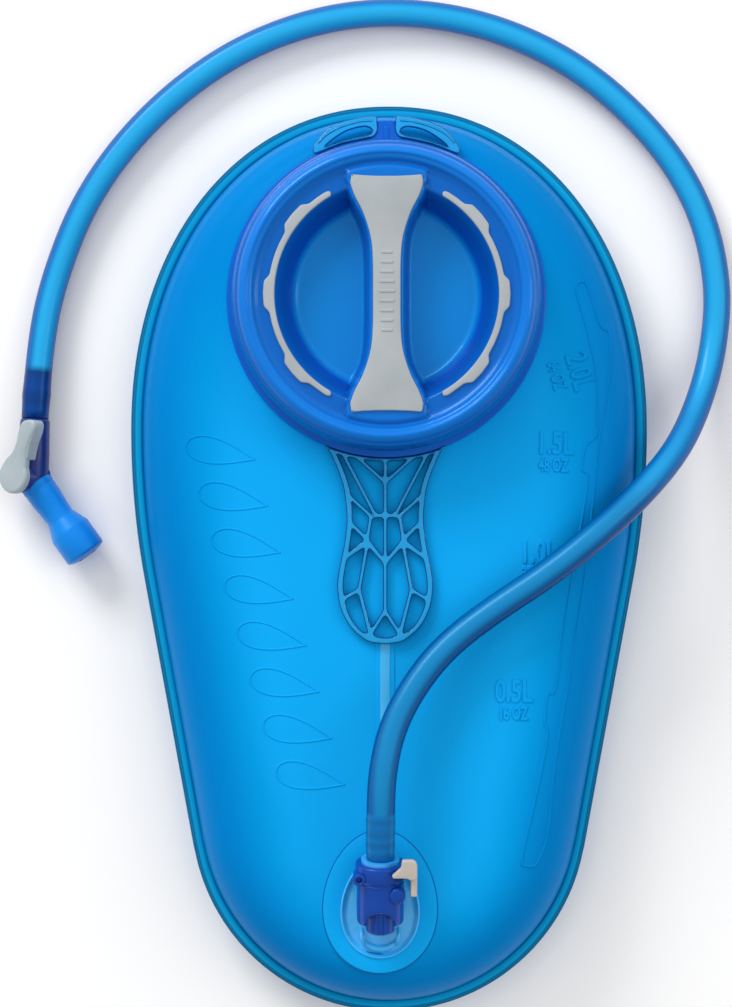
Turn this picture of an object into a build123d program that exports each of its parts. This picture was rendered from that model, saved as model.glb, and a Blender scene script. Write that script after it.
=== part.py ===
from build123d import *
from math import cos, pi, radians, sin, sqrt, tan
import os

# Hydration bladder lying on its back. +Z points out of the front panel, +Y towards the fill port,
# +X to the right. The origin is the middle of the bag's footprint, on the surface it lies on.

# ---- driving dimensions (mm) ----
BAG_HALF_LENGTH = 165.3
BAG_HALF_WIDTH = 94.0
WIDEST_Y = 47.0
TOP_EXPONENT = 2.12
SIDE_RADIUS = 300.0
SIDE_ANGLE = 10.4
BOTTOM_RADIUS = 71.9
RIM_Z = 15.0
TOP_Z = 38.0
FILM = 0.8
WELD_WIDTH = 4.0
OUTLINE_POINTS = 36

PORT_X = -1.2
PORT_Y = 93.6
PORT = (PORT_X, PORT_Y)
FLANGE_R = 57.0
FLANGE_THICKNESS = 2.6
NECK_R = 45.2
NECK_WALL = 2.6
NECK_TOP_Z = 50.0
NECK_BOTTOM_Z = 33.0
THREAD_LEAD = 8.0
THREAD_HEIGHT = 2.0
THREAD_STEP = 15
RUNNING_GAP = 0.3

CAP_R = 54.8
CAP_WALL_INNER_R = 47.8
CAP_BOTTOM_Z = 41.8
CAP_TOP_Z = 60.0
CAP_CREST_R = 50.0
CAP_SHOULDER_R = 45.5
CAP_SIDE_TOP_Z = 52.0
SHOULDER_Z = 57.0
RECESS_R = 39.4
RECESS_FLOOR_R = 32.5
RECESS_FLOOR_Z = 45.5
CAP_SEAT_Z = 51.8
CAP_FLOOR = 1.5
BAR_TOP_Z = 59.0
BAR_HOLLOW = (8.0, 56.0)
PAD_THICKNESS = 1.2

OUTLET_X = -3.4
OUTLET_Y = -105.7
OUTLET_Z = 51.0
OUTLET_TILT = 12.0
DISH_Y = -124.0

TUBE_R = 5.0
TUBE_BORE_R = 3.2

MOUTH_X = -131.9
MOUTH_Y = 29.7
MOUTH_Z = 8.0
MOUTH_LEAN = 3.0
PIVOT_ROLL = 42.0
ELBOW = 35.6

os.makedirs("parts", exist_ok=True)


def write(builder, name):
    builder.part.label = name
    export_step(builder.part, f"parts/{name}.step")


# ---- the bag's film ----
def half_width(y):
    """Half the bag's width at y: a superelliptic top, gently curved then straight sides, a round bottom."""
    lean = radians(SIDE_ANGLE)
    side_end_y = WIDEST_Y - SIDE_RADIUS * sin(lean)
    bottom_center_y = BOTTOM_RADIUS - BAG_HALF_LENGTH
    bottom_start_y = bottom_center_y - BOTTOM_RADIUS * sin(lean)
    if y >= WIDEST_Y:
        reach = min((y - WIDEST_Y) / (BAG_HALF_LENGTH - WIDEST_Y), 1)
        return BAG_HALF_WIDTH * (1 - reach**TOP_EXPONENT) ** (1 / TOP_EXPONENT)
    if y >= side_end_y:
        return BAG_HALF_WIDTH - SIDE_RADIUS + sqrt(SIDE_RADIUS**2 - (WIDEST_Y - y) ** 2)
    if y >= bottom_start_y:
        start = BAG_HALF_WIDTH - SIDE_RADIUS * (1 - cos(lean))
        return start - (side_end_y - y) * tan(lean)
    return sqrt(max(BOTTOM_RADIUS**2 - (y - bottom_center_y) ** 2, 0))


def outline(x_scale=1.0, y_scale=1.0, y_shift=0.0):
    """Points round the bag's outline, scaled about the origin and shifted along Y."""
    points = []
    for step in range(OUTLINE_POINTS):
        turn = 2 * pi * (step + 0.5) / OUTLINE_POINTS
        y = BAG_HALF_LENGTH * sin(turn)
        side = 1 if cos(turn) > 0 else -1
        points.append((side * half_width(y) * x_scale, y * y_scale + y_shift))
    return points


WELD_SCALE_X = 1 - WELD_WIDTH / BAG_HALF_WIDTH
WELD_SCALE_Y = 1 - WELD_WIDTH / BAG_HALF_LENGTH
PLATEAU_SCALE_X = 0.64
PLATEAU_SCALE_Y = 0.882
PLATEAU_SHIFT = 4.5
PILLOW_ANGLES = (0, 24, 47, 68, 90)


def pillow_section(angle, inset):
    """The film's outline where its rounded side has turned by an angle, 0 at the weld and 90 on the flat."""
    share = 1 - cos(radians(angle))
    rim_x = WELD_SCALE_X - inset / BAG_HALF_WIDTH
    rim_y = WELD_SCALE_Y - inset / BAG_HALF_LENGTH
    flat_x = PLATEAU_SCALE_X - inset / BAG_HALF_WIDTH
    flat_y = PLATEAU_SCALE_Y - inset / BAG_HALF_LENGTH
    x_scale = rim_x + (flat_x - rim_x) * share
    y_scale = rim_y + (flat_y - rim_y) * share
    return outline(x_scale, y_scale, PLATEAU_SHIFT * share)


def egg(width, length, center_y, narrowing=0.1, count=24):
    """An oval round the outlet's line, wider towards -Y."""
    points = []
    for step in range(count):
        turn = 2 * pi * step / count
        x = OUTLET_X + width / 2 * cos(turn) * (1 - narrowing * sin(turn))
        points.append((x, center_y + length / 2 * sin(turn)))
    return points


def film_shell(rise):
    """A pillow half: its wall is FILM thick, and it rises from the weld plane by rise (down if negative)."""
    sign = 1 if rise > 0 else -1
    with BuildPart() as shell:
        for angle in PILLOW_ANGLES:
            with BuildSketch(Plane.XY.offset(RIM_Z + rise * sin(radians(angle)))):
                with BuildLine():
                    Spline(*pillow_section(angle, 0), periodic=True)
                make_face()
        loft()
        for angle in PILLOW_ANGLES:
            with BuildSketch(Plane.XY.offset(RIM_Z + (rise - sign * FILM) * sin(radians(angle)))):
                with BuildLine():
                    Spline(*pillow_section(angle, FILM), periodic=True)
                make_face()
        loft(mode=Mode.SUBTRACT)
        with BuildSketch(Plane.XY.offset(RIM_Z)):
            with BuildLine():
                Spline(*outline(), periodic=True)
            make_face()
            with BuildLine():
                Spline(*pillow_section(0, FILM), periodic=True)
            make_face(mode=Mode.SUBTRACT)
        extrude(amount=sign * FILM)
    return shell.part


PORT_HOLE_R = NECK_R + 0.2
DISH_WIDTH = 26.8
DISH_LENGTH = 35.0

with BuildPart() as front_panel:
    add(film_shell(TOP_Z - RIM_Z))
    with BuildSketch(Plane.XY.offset(TOP_Z)):
        with Locations(PORT):
            Circle(PORT_HOLE_R)
        with BuildLine():
            Spline(*egg(DISH_WIDTH + 0.4, DISH_LENGTH + 0.4, DISH_Y), periodic=True)
        make_face()
    extrude(amount=-3 * FILM, mode=Mode.SUBTRACT)
write(front_panel, "front_panel")

with BuildPart() as back_panel:
    add(film_shell(-RIM_Z))
write(back_panel, "back_panel")

BAFFLE_X = -1.5
BAFFLE_TOP_Y = -30.0
BAFFLE_BOTTOM_Y = -88.0

with BuildPart() as center_baffle:
    with BuildSketch(Plane.XY.offset(FILM)):
        with Locations((BAFFLE_X, (BAFFLE_TOP_Y + BAFFLE_BOTTOM_Y) / 2)):
            Rectangle(FILM, BAFFLE_TOP_Y - BAFFLE_BOTTOM_Y)
    extrude(amount=TOP_Z - 2 * FILM)
write(center_baffle, "center_baffle")


# ---- the filling port ----
def thread(start_angle, end_angle, inner_r, outer_r, start_z):
    """A helical ridge on the port's axis, as short straight pieces; start_z is its middle at start_angle."""
    with BuildPart() as ridge:
        for angle in range(start_angle, end_angle + 1, THREAD_STEP):
            middle_z = start_z + THREAD_LEAD * (angle - start_angle) / 360
            direction = (cos(radians(angle)), sin(radians(angle)), 0)
            forward = (direction[1], -direction[0], 0)
            with BuildSketch(Plane(origin=(*PORT, middle_z), x_dir=direction, z_dir=forward)):
                with Locations(((inner_r + outer_r) / 2, 0)):
                    Rectangle(outer_r - inner_r, THREAD_HEIGHT)
        loft(ruled=True)
    return ridge.part


FLANGE_TOP_Z = TOP_Z + FLANGE_THICKNESS
NECK_THREAD_Z = FLANGE_TOP_Z + THREAD_HEIGHT / 2 + 0.5
NECK_THREAD_R = 47.2
NECK_THREAD_END = 300
CAP_THREAD_START = 240
CAP_THREAD_END = 450
CAP_THREAD_Z = NECK_THREAD_Z + THREAD_LEAD * (CAP_THREAD_START / 360 - 0.5)
CAP_THREAD_R = 45.9
TAB_WIDTH = 6.4
TAB_TOP_Y = 157.2
TAB_FLARE_WIDTH = 16.6
TAB_FLARE_LENGTH = 5.0
WING_Z = TOP_Z + 1.4
WING_THICKNESS = 1.8
WING_OUTER_R = 65.2
SLOT_OUTER_R = 62.6
WING_ANGLES = (2.9, 27.0)
SLOT_ANGLES = (5.5, 23.0)

with BuildPart() as fill_port_collar:
    with BuildSketch(Plane.XY.offset(TOP_Z)):
        with Locations(PORT):
            Circle(FLANGE_R)
        with Locations((PORT_X, PORT_Y + FLANGE_R)):
            Rectangle(TAB_WIDTH, TAB_TOP_Y - PORT_Y - FLANGE_R, align=(Align.CENTER, Align.MIN))
        with Locations((PORT_X, PORT_Y + FLANGE_R - 2)):
            Trapezoid(TAB_FLARE_WIDTH, TAB_FLARE_LENGTH, 60, align=(Align.CENTER, Align.MIN))
    extrude(amount=FLANGE_THICKNESS)
    with BuildSketch(Plane.XY.offset(NECK_BOTTOM_Z)):
        with Locations(PORT):
            Circle(NECK_R)
    extrude(amount=NECK_TOP_Z - NECK_BOTTOM_Z)
    add(thread(0, NECK_THREAD_END, NECK_R - 0.6, NECK_THREAD_R, NECK_THREAD_Z))
    with BuildSketch(Plane.XY.offset(NECK_BOTTOM_Z)):
        with Locations(PORT):
            Circle(NECK_R - NECK_WALL)
    extrude(amount=NECK_TOP_Z, mode=Mode.SUBTRACT)
write(fill_port_collar, "fill_port_collar")


def ring_sector(inner_r, outer_r, start_angle, end_angle):
    """A flat face between two radii round the port, its angles measured clockwise from +Y."""
    def at(radius, angle):
        turn = radians(90 - angle)
        return (PORT_X + radius * cos(turn), PORT_Y + radius * sin(turn))

    middle = (start_angle + end_angle) / 2
    with BuildSketch() as sector:
        with BuildLine():
            ThreePointArc(at(outer_r, start_angle), at(outer_r, middle), at(outer_r, end_angle))
            Line(at(outer_r, end_angle), at(inner_r, end_angle))
            ThreePointArc(at(inner_r, end_angle), at(inner_r, middle), at(inner_r, start_angle))
            Line(at(inner_r, start_angle), at(outer_r, start_angle))
        make_face()
    return sector.sketch


with BuildPart() as hanger_wings:
    with BuildSketch(Plane.XY.offset(WING_Z)):
        for side in (-1, 1):
            wing = [side * angle for angle in WING_ANGLES]
            slot = [side * angle for angle in SLOT_ANGLES]
            add(ring_sector(FLANGE_R, WING_OUTER_R, *wing))
            add(ring_sector(FLANGE_R - 1, SLOT_OUTER_R, *slot), mode=Mode.SUBTRACT)
        with Locations((PORT_X, PORT_Y + FLANGE_R)):
            Rectangle(TAB_WIDTH, 20, align=(Align.CENTER, Align.CENTER), mode=Mode.SUBTRACT)
    extrude(amount=WING_THICKNESS)
    add(fill_port_collar.part, mode=Mode.SUBTRACT)
write(hanger_wings, "hanger_wings")


# ---- the cap ----
CAP_BOWL_R = NECK_R - NECK_WALL - 0.6
PAD_HALF_LENGTH = 41.4
PAD_SIDE = ((4.8, 0), (4.9, 12), (5.7, 20), (8.2, 28), (11.2, 34), (12.8, 38.5))
PAD_CORNER_X = 12.3
PAD_MARGIN = 1.2
CRESCENT_WIDTH = 2.2
CRESCENT_ANGLES = (29, 151)
LUG_WIDTH = 1.8
LUG_ANGLES = (50, 90, 130)
LUG_SPAN = 15
GRIP_THICKNESS = 1.6


def pad_outline(grow=0.0):
    """The cross bar pad's bow-tie outline, a narrow waist with wide ends, grown by a margin."""
    side = [(x + grow, y) for x, y in PAD_SIDE]
    corner = (PAD_CORNER_X + grow, PAD_HALF_LENGTH + grow)
    with BuildSketch() as pad:
        with BuildLine():
            Spline(*[(x, -y) for x, y in reversed(side[1:])], *side)
            Line(side[-1], corner)
            ThreePointArc(corner, (0, corner[1] - 0.5), (-corner[0], corner[1]))
            Line((-corner[0], corner[1]), (-side[-1][0], side[-1][1]))
            Spline(*[(-x, y) for x, y in reversed(side[1:])], *[(-x, -y) for x, y in side])
            Line((-side[-1][0], -side[-1][1]), (-corner[0], -corner[1]))
            ThreePointArc((-corner[0], -corner[1]), (0, 0.5 - corner[1]), (corner[0], -corner[1]))
            Line((corner[0], -corner[1]), (side[-1][0], -side[-1][1]))
        make_face()
    return pad.sketch.moved(Location((PORT_X, PORT_Y, 0)))


def grip_outline(side):
    """A crescent on the recess's rim with three lugs on its outer edge."""
    with BuildSketch() as grip:
        add(ring_sector(RECESS_R, RECESS_R + CRESCENT_WIDTH, *[side * angle for angle in CRESCENT_ANGLES]))
        for angle in LUG_ANGLES:
            lug = (side * (angle - LUG_SPAN / 2), side * (angle + LUG_SPAN / 2))
            add(ring_sector(RECESS_R + 1, RECESS_R + CRESCENT_WIDTH + LUG_WIDTH, *lug))
    return grip.sketch


with BuildPart() as cap_shell:
    with BuildSketch(Plane.XZ.offset(-PORT_Y)):
        with BuildLine():
            Polyline(
                (PORT_X, RECESS_FLOOR_Z),
                (PORT_X + RECESS_FLOOR_R, RECESS_FLOOR_Z),
                (PORT_X + RECESS_R, SHOULDER_Z - 1),
                (PORT_X + RECESS_R, SHOULDER_Z),
                (PORT_X + CAP_SHOULDER_R, SHOULDER_Z),
            )
            ThreePointArc(
                (PORT_X + CAP_SHOULDER_R, SHOULDER_Z),
                (PORT_X + CAP_CREST_R - 2.6, CAP_TOP_Z - 0.7),
                (PORT_X + CAP_CREST_R, CAP_TOP_Z),
            )
            ThreePointArc(
                (PORT_X + CAP_CREST_R, CAP_TOP_Z),
                (PORT_X + CAP_R - 1.2, CAP_TOP_Z - 3.2),
                (PORT_X + CAP_R, CAP_SIDE_TOP_Z),
            )
            Polyline(
                (PORT_X + CAP_R, CAP_SIDE_TOP_Z),
                (PORT_X + CAP_R, CAP_BOTTOM_Z),
                (PORT_X + CAP_WALL_INNER_R, CAP_BOTTOM_Z),
                (PORT_X + CAP_WALL_INNER_R, CAP_SEAT_Z),
                (PORT_X + CAP_BOWL_R, CAP_SEAT_Z),
                (PORT_X + CAP_BOWL_R, NECK_TOP_Z - 2),
                (PORT_X + RECESS_FLOOR_R + 3, RECESS_FLOOR_Z - CAP_FLOOR),
                (PORT_X, RECESS_FLOOR_Z - CAP_FLOOR),
                (PORT_X, RECESS_FLOOR_Z),
            )
        make_face()
    revolve(axis=Axis((PORT_X, PORT_Y, 0), (0, 0, 1)))
    with BuildSketch(Plane.XY.offset(RECESS_FLOOR_Z - CAP_FLOOR)):
        add(pad_outline(2 * PAD_MARGIN))
        with Locations(PORT):
            Circle(CAP_BOWL_R, mode=Mode.INTERSECT)
    extrude(amount=SHOULDER_Z - RECESS_FLOOR_Z + CAP_FLOOR)
    with BuildSketch(Plane.XY.offset(SHOULDER_Z)):
        add(pad_outline(PAD_MARGIN))
    extrude(amount=BAR_TOP_Z - SHOULDER_Z)
    # the bar is hollow from below
    with BuildSketch(Plane.XY.offset(RECESS_FLOOR_Z - CAP_FLOOR)):
        with Locations(PORT):
            Rectangle(*BAR_HOLLOW)
    extrude(amount=BAR_TOP_Z - RECESS_FLOOR_Z - 2, mode=Mode.SUBTRACT)
    for side in (-1, 1):
        with BuildSketch(Plane.XY.offset(SHOULDER_Z - GRIP_THICKNESS / 2)):
            add(grip_outline(side))
        extrude(amount=GRIP_THICKNESS * 2, mode=Mode.SUBTRACT)
    with BuildSketch(Plane.XY.offset(BAR_TOP_Z - PAD_THICKNESS / 2)):
        add(pad_outline())
    extrude(amount=CAP_TOP_Z, mode=Mode.SUBTRACT)
    add(thread(CAP_THREAD_START, CAP_THREAD_END, CAP_THREAD_R, CAP_WALL_INNER_R + 1.2, CAP_THREAD_Z))
write(cap_shell, "cap_shell")

with BuildPart() as cap_inner_plate:
    with BuildSketch(Plane.XY.offset(RECESS_FLOOR_Z - 2 * CAP_FLOOR)):
        with Locations(PORT):
            Circle(RECESS_FLOOR_R + 2)
    extrude(amount=CAP_FLOOR)
    fillet(cap_inner_plate.edges().group_by(Axis.Z)[0], 0.6)
write(cap_inner_plate, "cap_inner_plate")

with BuildPart() as cap_bar_pad:
    with BuildSketch(Plane.XY.offset(BAR_TOP_Z - PAD_THICKNESS / 2)):
        add(pad_outline())
    extrude(amount=PAD_THICKNESS)
write(cap_bar_pad, "cap_bar_pad")

for side, name in ((-1, "grip_pad_left"), (1, "grip_pad_right")):
    with BuildPart() as grip_pad:
        with BuildSketch(Plane.XY.offset(SHOULDER_Z - GRIP_THICKNESS / 2)):
            add(grip_outline(side))
        extrude(amount=GRIP_THICKNESS)
    write(grip_pad, name)

with BuildPart() as cap_seal:
    with BuildSketch(Plane.XY.offset(NECK_TOP_Z + RUNNING_GAP)):
        with Locations(PORT):
            Circle(CAP_WALL_INNER_R - 0.8)
            Circle(NECK_R - NECK_WALL + 0.2, mode=Mode.SUBTRACT)
    extrude(amount=CAP_SEAT_Z - NECK_TOP_Z - 2 * RUNNING_GAP)
write(cap_seal, "cap_seal")


# ---- the filling handle ----
HANDLE_X = -1.6
HANDLE_Z = TOP_Z + 0.5
HANDLE_THICKNESS = 3.0
HINGE_Y = 36.0
HINGE_GAP = 0.4
HANDLE_SIDE = (
    (17.9, 35.0),
    (14.6, 25.5),
    (13.8, 15.0),
    (15.3, 3.0),
    (17.1, -8.0),
    (16.2, -16.0),
    (12.0, -24.0),
)
HANDLE_TIP = ((6.0, -28.6), (0.0, -29.8))
HANDLE_BAND = 2.2
RIB_WIDTH = 1.5
# Half of the lattice; each rib is a chain of points, and the other half is its mirror image.
RIBS = (
    ((0, 38.5), (0, 28.0), (0, 16.0), (0, -1.0), (0, -18.0)),
    ((12.5, 39.5), (0.5, 27.6)),
    ((16.3, 40.0), (3.6, 16.2)),
    ((15.0, 23.0), (5.1, 15.8), (0, 16.0)),
    ((5.1, 15.8), (6.4, 6.9), (0, -1.0)),
    ((14.5, 13.2), (6.4, 7.6)),
    ((14.8, 1.0), (6.4, 6.9)),
    ((6.3, 5.5), (9.3, -10.5), (5.0, -24.0)),
    ((9.3, -10.5), (16.0, -14.0)),
    ((0, -18.0), (5.6, -27.5)),
)


def handle_outline(grow=0.0, top_y=None):
    """The handle's outline from a level top edge down to its round tip."""
    top_y = HINGE_Y - HINGE_GAP if top_y is None else top_y
    side = [(x + grow, y) for x, y in HANDLE_SIDE]
    tip = [(x + (grow if x else 0), y - grow) for x, y in HANDLE_TIP]
    top = (side[0][0] + 0.5 * (top_y - side[0][1]), top_y)
    right = [top] + side + tip
    left = [(-x, y) for x, y in reversed(right[:-1])]
    with BuildSketch() as handle:
        with BuildLine():
            Spline(*right, *left)
            Line(left[-1], right[0])
        make_face()
    return handle.sketch.moved(Location((HANDLE_X, 0, 0)))


def lattice_ribs():
    with BuildSketch() as ribs:
        for chain in RIBS:
            for side in (-1, 1):
                for start, end in zip(chain[:-1], chain[1:]):
                    start_x, end_x = (HANDLE_X + side * start[0], HANDLE_X + side * end[0])
                    run = Vector(end_x - start_x, end[1] - start[1])
                    middle = ((start_x + end_x) / 2, (start[1] + end[1]) / 2)
                    with Locations(Location((*middle, 0), (0, 0, Vector(1, 0).get_signed_angle(run)))):
                        SlotCenterToCenter(run.length, RIB_WIDTH)
    return ribs.sketch


with BuildPart() as carry_handle:
    with BuildSketch(Plane.XY.offset(HANDLE_Z)):
        add(handle_outline())
        add(handle_outline(-HANDLE_BAND, HINGE_Y + 5), mode=Mode.SUBTRACT)
        add(handle_outline() & lattice_ribs())
    extrude(amount=HANDLE_THICKNESS)
write(carry_handle, "carry_handle")

ANCHOR_SIDE = ((18.4, HINGE_Y), (20.8, 40.0), (24.0, 46.0))
with BuildPart() as handle_anchor:
    with BuildSketch(Plane.XY.offset(HANDLE_Z)):
        with BuildLine():
            right = Spline(*[(HANDLE_X + x, y) for x, y in ANCHOR_SIDE])
            left = Spline(*[(HANDLE_X - x, y) for x, y in ANCHOR_SIDE])
            Line(left @ 0, right @ 0)
            Line(left @ 1, right @ 1)
        make_face()
        with Locations(PORT):
            Circle(FLANGE_R, mode=Mode.SUBTRACT)
    extrude(amount=HANDLE_THICKNESS)
write(handle_anchor, "handle_anchor")


# ---- the outlet ----
# Its plane's origin is the middle of the coupling's mouth, its z runs out towards the tube, its y up.
outlet_turn = radians(OUTLET_TILT)
PULL = (0, cos(outlet_turn), sin(outlet_turn))
OUTLET = Plane(origin=(OUTLET_X, OUTLET_Y, OUTLET_Z), x_dir=(-1, 0, 0), z_dir=PULL)
PATCH_WIDTH = 40.6
PATCH_LENGTH = 51.0
PATCH_Y = -122.0
PATCH_THICKNESS = 0.5
DISH_FLOOR_Z = 35.0
DISH_WALL = 1.2
DISH_LIP = 2.4
DISH_TOP_Z = TOP_Z + 2.0
STUB_Y = -124.5
STUB_R = 3.2
STUB_BORE_R = 2.2
MOUTH_COLLAR_R = 8.8
MOUTH_COLLAR_LENGTH = 6.0
HOUSING_R = 8.3
HOUSING_LENGTH = 22.0
SKIRT_WALL = 1.3
SKIRT_DEPTH = 9.5
NOSE_R = 5.2
NOSE_END = 26.0
SOCKET_R = 5.3
SOCKET_DEPTH = 11.5
POPPET_BORE_R = 3.7
ARCH_R = 5.6
CHEEK_R = 2.85
CHEEK_PLACE = (-5.9, -10.2)
CHEEK_TOP = 8.2
LUG_R = 2.2
LUG_PLACE = (7.4, -4.4)
LUG_TOP = 7.4
LUG_HOLE_R = 1.1
PLUNGER_R = 1.9
PLUNGER_Z = -4.0
PLUNGER_END_X = 7.8
PLUNGER_HOLE_X = 6.0
BUTTON_PAD_X = 10.6


def outlet_top_plane(x, y, z):
    """A plane that faces up out of the coupling, from a point in the outlet plane's own coordinates."""
    return Plane(origin=OUTLET.from_local_coords((x, y, z)), x_dir=(1, 0, 0), z_dir=OUTLET.y_dir)


def outlet_side_plane(reach):
    """A plane that faces +X on the button's axis, at a reach from the coupling's axis."""
    return Plane(origin=OUTLET.from_local_coords((-reach, 0, PLUNGER_Z)), x_dir=PULL, z_dir=(1, 0, 0))


with BuildPart() as outlet_patch:
    with BuildSketch(Plane.XY.offset(TOP_Z)):
        with BuildLine():
            Spline(*egg(PATCH_WIDTH, PATCH_LENGTH, PATCH_Y), periodic=True)
        make_face()
        with BuildLine():
            Spline(*egg(DISH_WIDTH + 0.1, DISH_LENGTH + 0.1, DISH_Y), periodic=True)
        make_face(mode=Mode.SUBTRACT)
    extrude(amount=PATCH_THICKNESS)
write(outlet_patch, "outlet_patch")

with BuildPart() as outlet_port:
    with BuildSketch(Plane.XY.offset(DISH_FLOOR_Z)):
        with BuildLine():
            Spline(*egg(DISH_WIDTH, DISH_LENGTH, DISH_Y), periodic=True)
        make_face()
    extrude(amount=DISH_TOP_Z - DISH_FLOOR_Z)
    with BuildSketch(Plane.XY.offset(TOP_Z + PATCH_THICKNESS)):
        with BuildLine():
            Spline(*egg(DISH_WIDTH + DISH_LIP, DISH_LENGTH + DISH_LIP, DISH_Y), periodic=True)
        make_face()
    extrude(amount=0.8)
    with BuildSketch(Plane.XY.offset(DISH_FLOOR_Z + DISH_WALL)):
        with BuildLine():
            Spline(*egg(DISH_WIDTH - 2 * DISH_WALL, DISH_LENGTH - 2 * DISH_WALL, DISH_Y), periodic=True)
        make_face()
    extrude(amount=DISH_TOP_Z, mode=Mode.SUBTRACT)
    with BuildSketch(Plane.XY.offset(DISH_FLOOR_Z)):
        with Locations((OUTLET_X, STUB_Y)):
            Circle(STUB_R)
    extrude(amount=DISH_WALL, mode=Mode.SUBTRACT)
write(outlet_port, "outlet_port")

with BuildPart() as coupling_housing:
    with BuildSketch(OUTLET):
        Circle(MOUTH_COLLAR_R)
    extrude(amount=-MOUTH_COLLAR_LENGTH)
    chamfer(coupling_housing.edges(), 0.6)
    with BuildSketch(OUTLET.offset(1 - MOUTH_COLLAR_LENGTH)):
        Circle(HOUSING_R)
    extrude(amount=MOUTH_COLLAR_LENGTH - HOUSING_LENGTH - 1)
    with BuildSketch(OUTLET.offset(-HOUSING_LENGTH)):
        Circle(HOUSING_R - SKIRT_WALL)
        Circle(NOSE_R, mode=Mode.SUBTRACT)
    extrude(amount=SKIRT_DEPTH, mode=Mode.SUBTRACT)
    with BuildSketch(OUTLET.offset(-NOSE_END)):
        Circle(NOSE_R)
    extrude(amount=NOSE_END - HOUSING_LENGTH)
    # the arch in the skirt's upper wall, which shows the nose
    with BuildSketch(outlet_top_plane(0, NOSE_R, -HOUSING_LENGTH)):
        Circle(ARCH_R)
    extrude(amount=HOUSING_R, mode=Mode.SUBTRACT)
    # the rounded cheek beside the button's arm
    with BuildSketch(outlet_top_plane(CHEEK_PLACE[0], 0, CHEEK_PLACE[1])):
        Circle(CHEEK_R)
    extrude(amount=CHEEK_TOP)
    # the drilled lug on the other side
    with BuildSketch(outlet_top_plane(LUG_PLACE[0], 0, LUG_PLACE[1])):
        Circle(LUG_R)
    extrude(amount=LUG_TOP)
    with BuildSketch(outlet_top_plane(LUG_PLACE[0] + 0.4, LUG_TOP, LUG_PLACE[1])):
        Circle(LUG_HOLE_R)
    extrude(amount=-1.5, mode=Mode.SUBTRACT)
    # the inlet stub down through the dish
    with BuildSketch(Plane.XY.offset(DISH_FLOOR_Z - 1.5)):
        with Locations((OUTLET_X, STUB_Y)):
            Circle(STUB_R)
    extrude(amount=OUTLET_Z - DISH_FLOOR_Z - 4)
    with BuildSketch(OUTLET):
        Circle(SOCKET_R)
    extrude(amount=-SOCKET_DEPTH, mode=Mode.SUBTRACT)
    with BuildSketch(OUTLET):
        Circle(POPPET_BORE_R)
    extrude(amount=1.5 - NOSE_END, mode=Mode.SUBTRACT)
    with BuildSketch(Plane.XY.offset(DISH_FLOOR_Z - 1.5)):
        with Locations((OUTLET_X, STUB_Y)):
            Circle(STUB_BORE_R)
    extrude(amount=OUTLET_Z - DISH_FLOOR_Z - 5, mode=Mode.SUBTRACT)
    # the button's plunger hole
    with BuildSketch(outlet_side_plane(PLUNGER_HOLE_X)):
        Circle(PLUNGER_R + 0.1)
    extrude(amount=MOUTH_COLLAR_R, mode=Mode.SUBTRACT)
write(coupling_housing, "coupling_housing")

# ---- the release button, on the coupling's +X side ----
BUTTON_REACH_X = 4.4
BUTTON_SIDE_THICKNESS = 2.5
BUTTON_HEIGHT = 10.8
BUTTON_TOP = 1.8
BUTTON_ARM_LENGTH = 6.6
BUTTON_LENGTH = 14.0
BUTTON_FRONT = 4.0
BUTTON_ARM_REACH = BUTTON_PAD_X + BUTTON_SIDE_THICKNESS - BUTTON_REACH_X

with BuildPart() as release_button:
    with BuildSketch(OUTLET.offset(BUTTON_FRONT - BUTTON_ARM_LENGTH)):
        with Locations((-BUTTON_REACH_X, BUTTON_HEIGHT)):
            Rectangle(BUTTON_ARM_REACH, BUTTON_TOP, align=(Align.MAX, Align.MAX))
    extrude(amount=BUTTON_ARM_LENGTH)
    with BuildSketch(OUTLET.offset(BUTTON_FRONT - BUTTON_LENGTH)):
        with Locations((-BUTTON_PAD_X, BUTTON_HEIGHT)):
            Rectangle(BUTTON_SIDE_THICKNESS, BUTTON_HEIGHT + 3.5, align=(Align.MAX, Align.MAX))
    extrude(amount=BUTTON_LENGTH)
    fillet(release_button.edges().filter_by(Axis(OUTLET.origin, PULL)).sort_by(Axis.X)[-2:], 1.0)
    with BuildSketch(outlet_side_plane(PLUNGER_END_X)):
        Circle(PLUNGER_R)
    extrude(amount=BUTTON_PAD_X - PLUNGER_END_X)
write(release_button, "release_button")

SPRING_WIRE = 0.35
BUTTON_SPRING_R = 2.5
BUTTON_SPRING_X = 9.2
with BuildPart() as button_spring:
    with BuildLine():
        seat = OUTLET.from_local_coords((-BUTTON_SPRING_X, 0, PLUNGER_Z))
        coil = Helix(0.5, 1.0, BUTTON_SPRING_R, center=seat, direction=(1, 0, 0))
    with BuildSketch(Plane(origin=coil @ 0, z_dir=coil % 0)):
        Circle(SPRING_WIRE / 2)
    sweep(is_frenet=True)
write(button_spring, "button_spring")

# ---- the shut-off poppet and its spring, in the coupling's nose ----
POPPET_R = 3.4
POPPET_FACE = -12.0
POPPET_SPRING_SEAT = -23.9
POPPET_SPRING_LENGTH = 9.0
POPPET_SPRING_R = 2.4
with BuildPart() as shutoff_poppet:
    with BuildSketch(OUTLET.offset(POPPET_FACE)):
        Circle(POPPET_R)
    extrude(amount=-2)
    with BuildSketch(OUTLET.offset(POPPET_FACE - 2)):
        Circle(1.2)
    extrude(amount=-4)
write(shutoff_poppet, "shutoff_poppet")

with BuildPart() as poppet_spring:
    with BuildLine():
        seat = OUTLET.from_local_coords((0, 0, POPPET_SPRING_SEAT))
        coil = Helix(2.0, POPPET_SPRING_LENGTH, POPPET_SPRING_R, center=seat, direction=PULL)
    with BuildSketch(Plane(origin=coil @ 0, z_dir=coil % 0)):
        Circle(SPRING_WIRE)
    sweep(is_frenet=True)
write(poppet_spring, "poppet_spring")

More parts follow.
